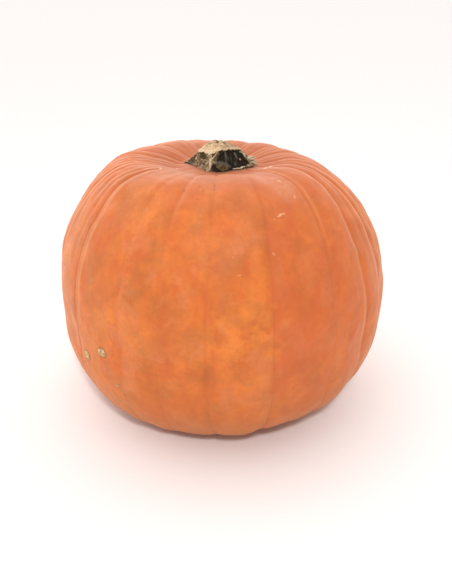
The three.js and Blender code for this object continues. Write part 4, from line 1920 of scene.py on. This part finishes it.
@dataclass(frozen=True)
class StemFinish:
    """Dry stem: beige cork on the torn top and the ridges, green-black furrowed bark between, with painted
    shade and shadow at its foot and in the pits of its top.

    A grain is a noise's scale, detail, roughness and warp. A ramp is where it starts and ends,
    and its results there if not 0 and 1. A bump is its strength and height.
    """

    cork: Colour = (0.480, 0.320, 0.190)
    cork_light: Colour = (0.730, 0.510, 0.300)
    cork_edge: Colour = (0.600, 0.480, 0.330)
    cork_pink: Colour = (0.480, 0.265, 0.160)
    cork_brown: Colour = (0.150, 0.085, 0.045)
    pit_shade_tone: Colour = (0.070, 0.035, 0.018)
    flank: Colour = (0.370, 0.270, 0.155)
    flank_brown: Colour = (0.130, 0.085, 0.042)
    flank_mauve: Colour = (0.170, 0.110, 0.075)
    olive: Colour = (0.075, 0.055, 0.022)
    bark: Colour = (0.014, 0.014, 0.009)
    bark_purple: Colour = (0.022, 0.011, 0.008)
    bark_green: Colour = (0.030, 0.032, 0.014)
    grey: Colour = (0.105, 0.095, 0.075)
    flank_foot_shadow: Colour = (0.100, 0.026, 0.012)
    knob_tone: Colour = (0.120, 0.078, 0.036)
    knob_heart: Colour = (0.050, 0.020, 0.005)
    roughness: float = 0.9
    gloss: float = 0.15
    patch_grain: Numbers = (300.0, 3.0, 0.6, 0.4)
    crumb_grain: Numbers = (620.0, 4.0, 0.65, 0.3)
    pink_grain: Numbers = (420.0, 3.0, 0.6, 0.5)
    pink_step: float = 0.4
    lean_ramp: Numbers = (-0.006, 0.004, 0.16, -0.06)
    cream_ramp: Numbers = (0.46, 0.62)
    pink_ramp: Numbers = (0.52, 0.64, 0.0, 0.6)
    rim_ramp: Numbers = (0.40, 0.60, 0.3, 0.9)
    crumb_ramp: Numbers = (0.53, 0.68, 0.0, 0.75)
    pit_shade_share: float = 0.9
    mottle_grain: Numbers = (330.0, 3.0, 0.6, 0.5)
    mauve_grain: Numbers = (240.0, 3.0, 0.6, 0.5)
    mauve_step: float = 0.9
    mottle_ramp: Numbers = (0.42, 0.60)
    mauve_ramp: Numbers = (0.50, 0.64, 0.0, 0.8)
    purple_grain: Numbers = (170.0, 2.0, 0.5, 0.4)
    purple_ramp: Numbers = (0.44, 0.58)
    green_ramp: Numbers = (0.52, 0.68, 0.0, 0.8)
    grey_ramp: Numbers = (0.7, 1.9, 0.0, 0.55)
    upright_stretch: Numbers = (1.0, 1.0, 0.25)
    upright_grain: Numbers = (900.0, 4.0, 0.65, 0.4)
    speckle_grain: Numbers = (1300.0, 3.0, 0.65)
    fray_ramp: Numbers = (0.3, 0.7, -0.20, 0.20)
    ridge_edge: Numbers = (0.45, 0.75)
    ridge_share: float = 0.85
    crisp_edge: Numbers = (0.38, 0.62)
    soft_edge: Numbers = (0.30, 0.75)
    cork_ramp: Numbers = (0.50, 0.68, 0.0, 0.5)
    knob_rim_share: float = 0.8
    flank_base_shade_ramp: Numbers = (0.01, 0.09, 0.75, 0.0)
    torn_edge: Numbers = (0.3, 0.6)
    grain_bump: Numbers = (0.5, 0.0008)
    speckle_bump: Numbers = (0.5, 0.0004)
    fibre_grain: Numbers = (700.0, 3.0, 0.6, 0.3)
    fibre_stretch: Numbers = (0.3, 1.0, 1.0)
    fibre_ramp: Numbers = (0.48, 0.68, 0.0, 0.7)
    fibre_bump: Numbers = (0.5, 0.0004)

    def cork_colour(self, shader: Shader) -> Socket:
        """The torn top: cream on the left, tan on the right, with brown crumbs, a pale edge and painted
        shade in its pits.

        Args:
            shader: The material that is being built.

        Returns:
            The colour.
        """
        patch = shader.noise(*self.patch_grain)
        crumb = shader.noise(*self.crumb_grain)
        blotch = shader.noise(*self.pink_grain, shader.moved(self.pink_step))
        side = shader.add("ShaderNodeSeparateXYZ")
        shader.feed(side.inputs[0], shader.place)
        lean = shader.window(side.outputs[0], *self.lean_ramp)
        cream = shader.window(shader.work_out("ADD", patch, lean), *self.cream_ramp)
        colour = shader.mix(cream, self.cork, self.cork_light)
        colour = shader.mix(shader.window(blotch, *self.pink_ramp), colour, self.cork_pink)
        rim = shader.times(shader.trait("rim"), shader.window(patch, *self.rim_ramp))
        colour = shader.mix(rim, colour, self.cork_edge)
        colour = shader.mix(shader.window(crumb, *self.crumb_ramp), colour, self.cork_brown)
        # painted shade in the pits of the torn top
        return shader.mix(shader.trait("pit", self.pit_shade_share), colour, self.pit_shade_tone)

    def flank_colour(self, shader: Shader) -> Socket:
        """The flank outside the bark panes: mottled beige, brown and mauve grey.

        Args:
            shader: The material that is being built.

        Returns:
            The colour.
        """
        mottle = shader.noise(*self.mottle_grain)
        second = shader.noise(*self.mauve_grain, shader.moved(self.mauve_step))
        colour = shader.mix(shader.window(mottle, *self.mottle_ramp), self.flank_brown, self.flank)
        return shader.mix(shader.window(second, *self.mauve_ramp), colour, self.flank_mauve)

    def bark_colour(self, shader: Shader, grain: Socket) -> Socket:
        """The sunk bark: green black and purple black, in upright streaks.

        Args:
            shader: The material that is being built.
            grain: The upright grain.

        Returns:
            The colour.
        """
        patch = shader.noise(*self.purple_grain)
        colour = shader.mix(shader.window(patch, *self.purple_ramp), self.bark, self.bark_purple)
        colour = shader.mix(shader.window(grain, *self.green_ramp), colour, self.bark_green)
        ribs = shader.window(shader.trait("furrow"), *self.grey_ramp)
        return shader.mix(ribs, colour, self.grey)

    def ragged(self, shader: Shader, name: str, dust: Socket, low: float, high: float) -> Socket:
        """A mask that is kept on the mesh, with its edge frayed by fine noise."""
        return shader.window(shader.work_out("ADD", shader.trait(name), dust), low, high)

    def material(self) -> bpy.types.Material:
        """Builds the node material.

        Returns:
            The finished material.
        """
        shader = Shader("dried_stem")
        upright = shader.stretched(self.upright_stretch)
        grain = shader.noise(*self.upright_grain, upright)
        speckle = shader.noise(*self.speckle_grain)
        dust = shader.window(speckle, *self.fray_ramp)
        colour = self.flank_colour(shader)
        ridge = shader.times(self.ragged(shader, "ridge", dust, *self.ridge_edge), self.ridge_share)
        colour = shader.mix(ridge, colour, self.flank)
        cork = shader.mix(shader.window(grain, *self.cork_ramp), self.cork_edge, self.cork)
        for name, edge, tone in (("olive", self.crisp_edge, self.olive),
                                 ("dark", self.crisp_edge, self.bark_colour(shader, grain)),
                                 ("grey", self.soft_edge, self.grey),
                                 ("cork", self.soft_edge, cork)):
            colour = shader.mix(self.ragged(shader, name, dust, *edge), colour, tone)
        colour = shader.mix(shader.trait("knob"), colour, self.knob_tone)
        colour = shader.mix(shader.trait("knob_heart"), colour, self.knob_heart)
        colour = shader.mix(shader.trait("knob_rim", self.knob_rim_share), colour, self.grey)
        # painted shadow along the flank's foot
        colour = shader.mix(self.ragged(shader, "flank_foot_shadow", dust, *self.soft_edge), colour, self.flank_foot_shadow)
        # painted shade on the lowest part of the flank, where the stem meets the rind
        flank_base_shade = shader.window(shader.trait("up"), *self.flank_base_shade_ramp)
        colour = shader.mix(flank_base_shade, colour, self.olive)
        torn = self.ragged(shader, "torn", dust, *self.torn_edge)
        colour = shader.mix(torn, colour, self.cork_colour(shader))
        normal = shader.bump(grain, *self.grain_bump)
        normal = shader.bump(speckle, *self.speckle_bump, normal)
        return shader.finish(colour, self.roughness, normal, {"IOR": 1.45, "Specular IOR Level": self.gloss})

    def shred_material(self) -> bpy.types.Material:
        """Builds the material of the frayed fibres: pale, with brown along the grain.

        Returns:
            The finished material.
        """
        shader = Shader("stem_fibre")
        grain = shader.noise(*self.fibre_grain, shader.stretched(self.fibre_stretch))
        colour = shader.mix(shader.window(grain, *self.fibre_ramp), self.cork_edge, self.flank_brown)
        normal = shader.bump(grain, *self.fibre_bump)
        return shader.finish(colour, self.roughness, normal, {"Specular IOR Level": self.gloss})


@dataclass
class Studio:
    """Pale floor, soft light from all around, a key light in front and the photo's camera."""

    picture: Tuple[int, int] = (452, 584)
    focal_pixels: float = 692.2
    distance: float = 0.5401
    elevation: float = 27.82
    roll: float = 0.4
    target: Tuple[float, float, float] = (0.0027, 0.0001, 0.0748)
    floor_half: float = 9.0
    floor_tone: Colour = (0.910, 0.855, 0.835)
    floor_roughness: float = 0.9
    floor_gloss: float = 0.1
    room_level: float = 1.13
    room_slope: Tuple[float, float, float] = (-0.30, 0.92, -0.09)
    key_energy: float = 7.6
    key_size: float = 0.14
    key_distance: float = 1.3
    key_azimuth: float = 4.0
    key_elevation: float = 43.0

    def camera(self) -> None:
        """Makes the camera that looks at the fruit from the front and a little above."""
        sensor = 24.0
        lens = bpy.data.cameras.new("photo_camera")
        lens.sensor_fit = "VERTICAL"
        lens.sensor_height = sensor
        lens.lens = self.focal_pixels * sensor / self.picture[1]
        lens.clip_start = 0.01
        lens.clip_end = 50.0
        camera = add_object("photo_camera", lens)
        rise = math.radians(self.elevation)
        away = Vector((0.0, -math.cos(rise), math.sin(rise))) * self.distance
        camera.location = Vector(self.target) + away
        tip = Euler((math.pi / 2.0 - rise, 0.0, 0.0)).to_matrix()
        camera.rotation_euler = (tip @ Matrix.Rotation(math.radians(-self.roll), 3, "Z")).to_euler()
        bpy.context.scene.camera = camera

    def floor(self) -> None:
        """Makes the pale floor."""
        half = self.floor_half
        mesh = bpy.data.meshes.new("floor")
        corners = [(-half, -half, 0.0), (half, -half, 0.0), (half, half, 0.0), (-half, half, 0.0)]
        mesh.from_pydata(corners, [], [(0, 1, 2, 3)])
        shader = Shader("floor_paint")
        paint = shader.finish(self.floor_tone, self.floor_roughness, None,
                              {"Specular IOR Level": self.floor_gloss})
        mesh.materials.append(paint)
        floor = add_object("floor", mesh)

    def light(self) -> None:
        """Sets a pale room all around, brightest behind the fruit, and a key light in front.

        The room's brightness in a direction is a level plus the direction times a slope.
        """
        world = bpy.data.worlds.new("pale_room")
        world.use_nodes = True
        nodes, links = world.node_tree.nodes, world.node_tree.links
        way = nodes.new("ShaderNodeTexCoord")
        slope = nodes.new("ShaderNodeVectorMath")
        slope.operation = "DOT_PRODUCT"
        slope.inputs[1].default_value = self.room_slope
        level = nodes.new("ShaderNodeMath")
        level.operation = "ADD"
        level.inputs[1].default_value = self.room_level
        links.new(way.outputs["Generated"], slope.inputs[0])
        links.new(slope.outputs["Value"], level.inputs[0])
        links.new(level.outputs[0], nodes["Background"].inputs["Strength"])
        nodes["Background"].inputs["Color"].default_value = (1.0, 1.0, 1.0, 1.0)
        bpy.context.scene.world = world
        lamp = bpy.data.lights.new("front_light", "AREA")
        lamp.shape = "DISK"
        lamp.energy = self.key_energy
        lamp.size = self.key_size
        key = add_object("front_light", lamp)
        side, rise = math.radians(self.key_azimuth), math.radians(self.key_elevation)
        way = Vector((math.sin(side) * math.cos(rise), -math.cos(side) * math.cos(rise), math.sin(rise)))
        key.location = Vector(self.target) + way * self.key_distance
        key.rotation_euler = way.to_track_quat("Z", "Y").to_euler()
        bpy.context.scene.view_settings.view_transform = "Standard"
        bpy.context.scene.view_settings.look = "None"

    def set_up(self) -> None:
        """Sets up camera, floor and light."""
        self.camera()
        self.floor()
        self.light()


def add_piece(piece: bpy.types.Object, material: bpy.types.Material, node: str) -> None:
    """Dresses a piece, hides the solid that it stands for and hangs it on the body that it moves with.

    Args:
        piece: The new piece.
        material: Its material.
        node: The solid that it stands for.
    """
    piece.data.materials.append(material)
    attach(piece, BODY)
    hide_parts(node)
    LOG.info("%s: %d vertices, %d faces", piece.name, len(piece.data.vertices), len(piece.data.polygons))


def main() -> None:
    """Builds the studio and the pumpkin's pieces in order."""
    logging.basicConfig(level=logging.INFO, format="%(name)s %(message)s")
    Studio().set_up()
    form = FruitForm()
    skin = FruitSkin(form)
    add_piece(skin.build(), RindFinish().material(form), "fruit")
    stem = StemStub(form, skin.shift)
    add_piece(stem.build(), StemFinish().material(), "stem")
    add_piece(StemShreds(stem).build(), StemFinish().shred_material(), "stem")


if __name__ == "__main__":
    main()
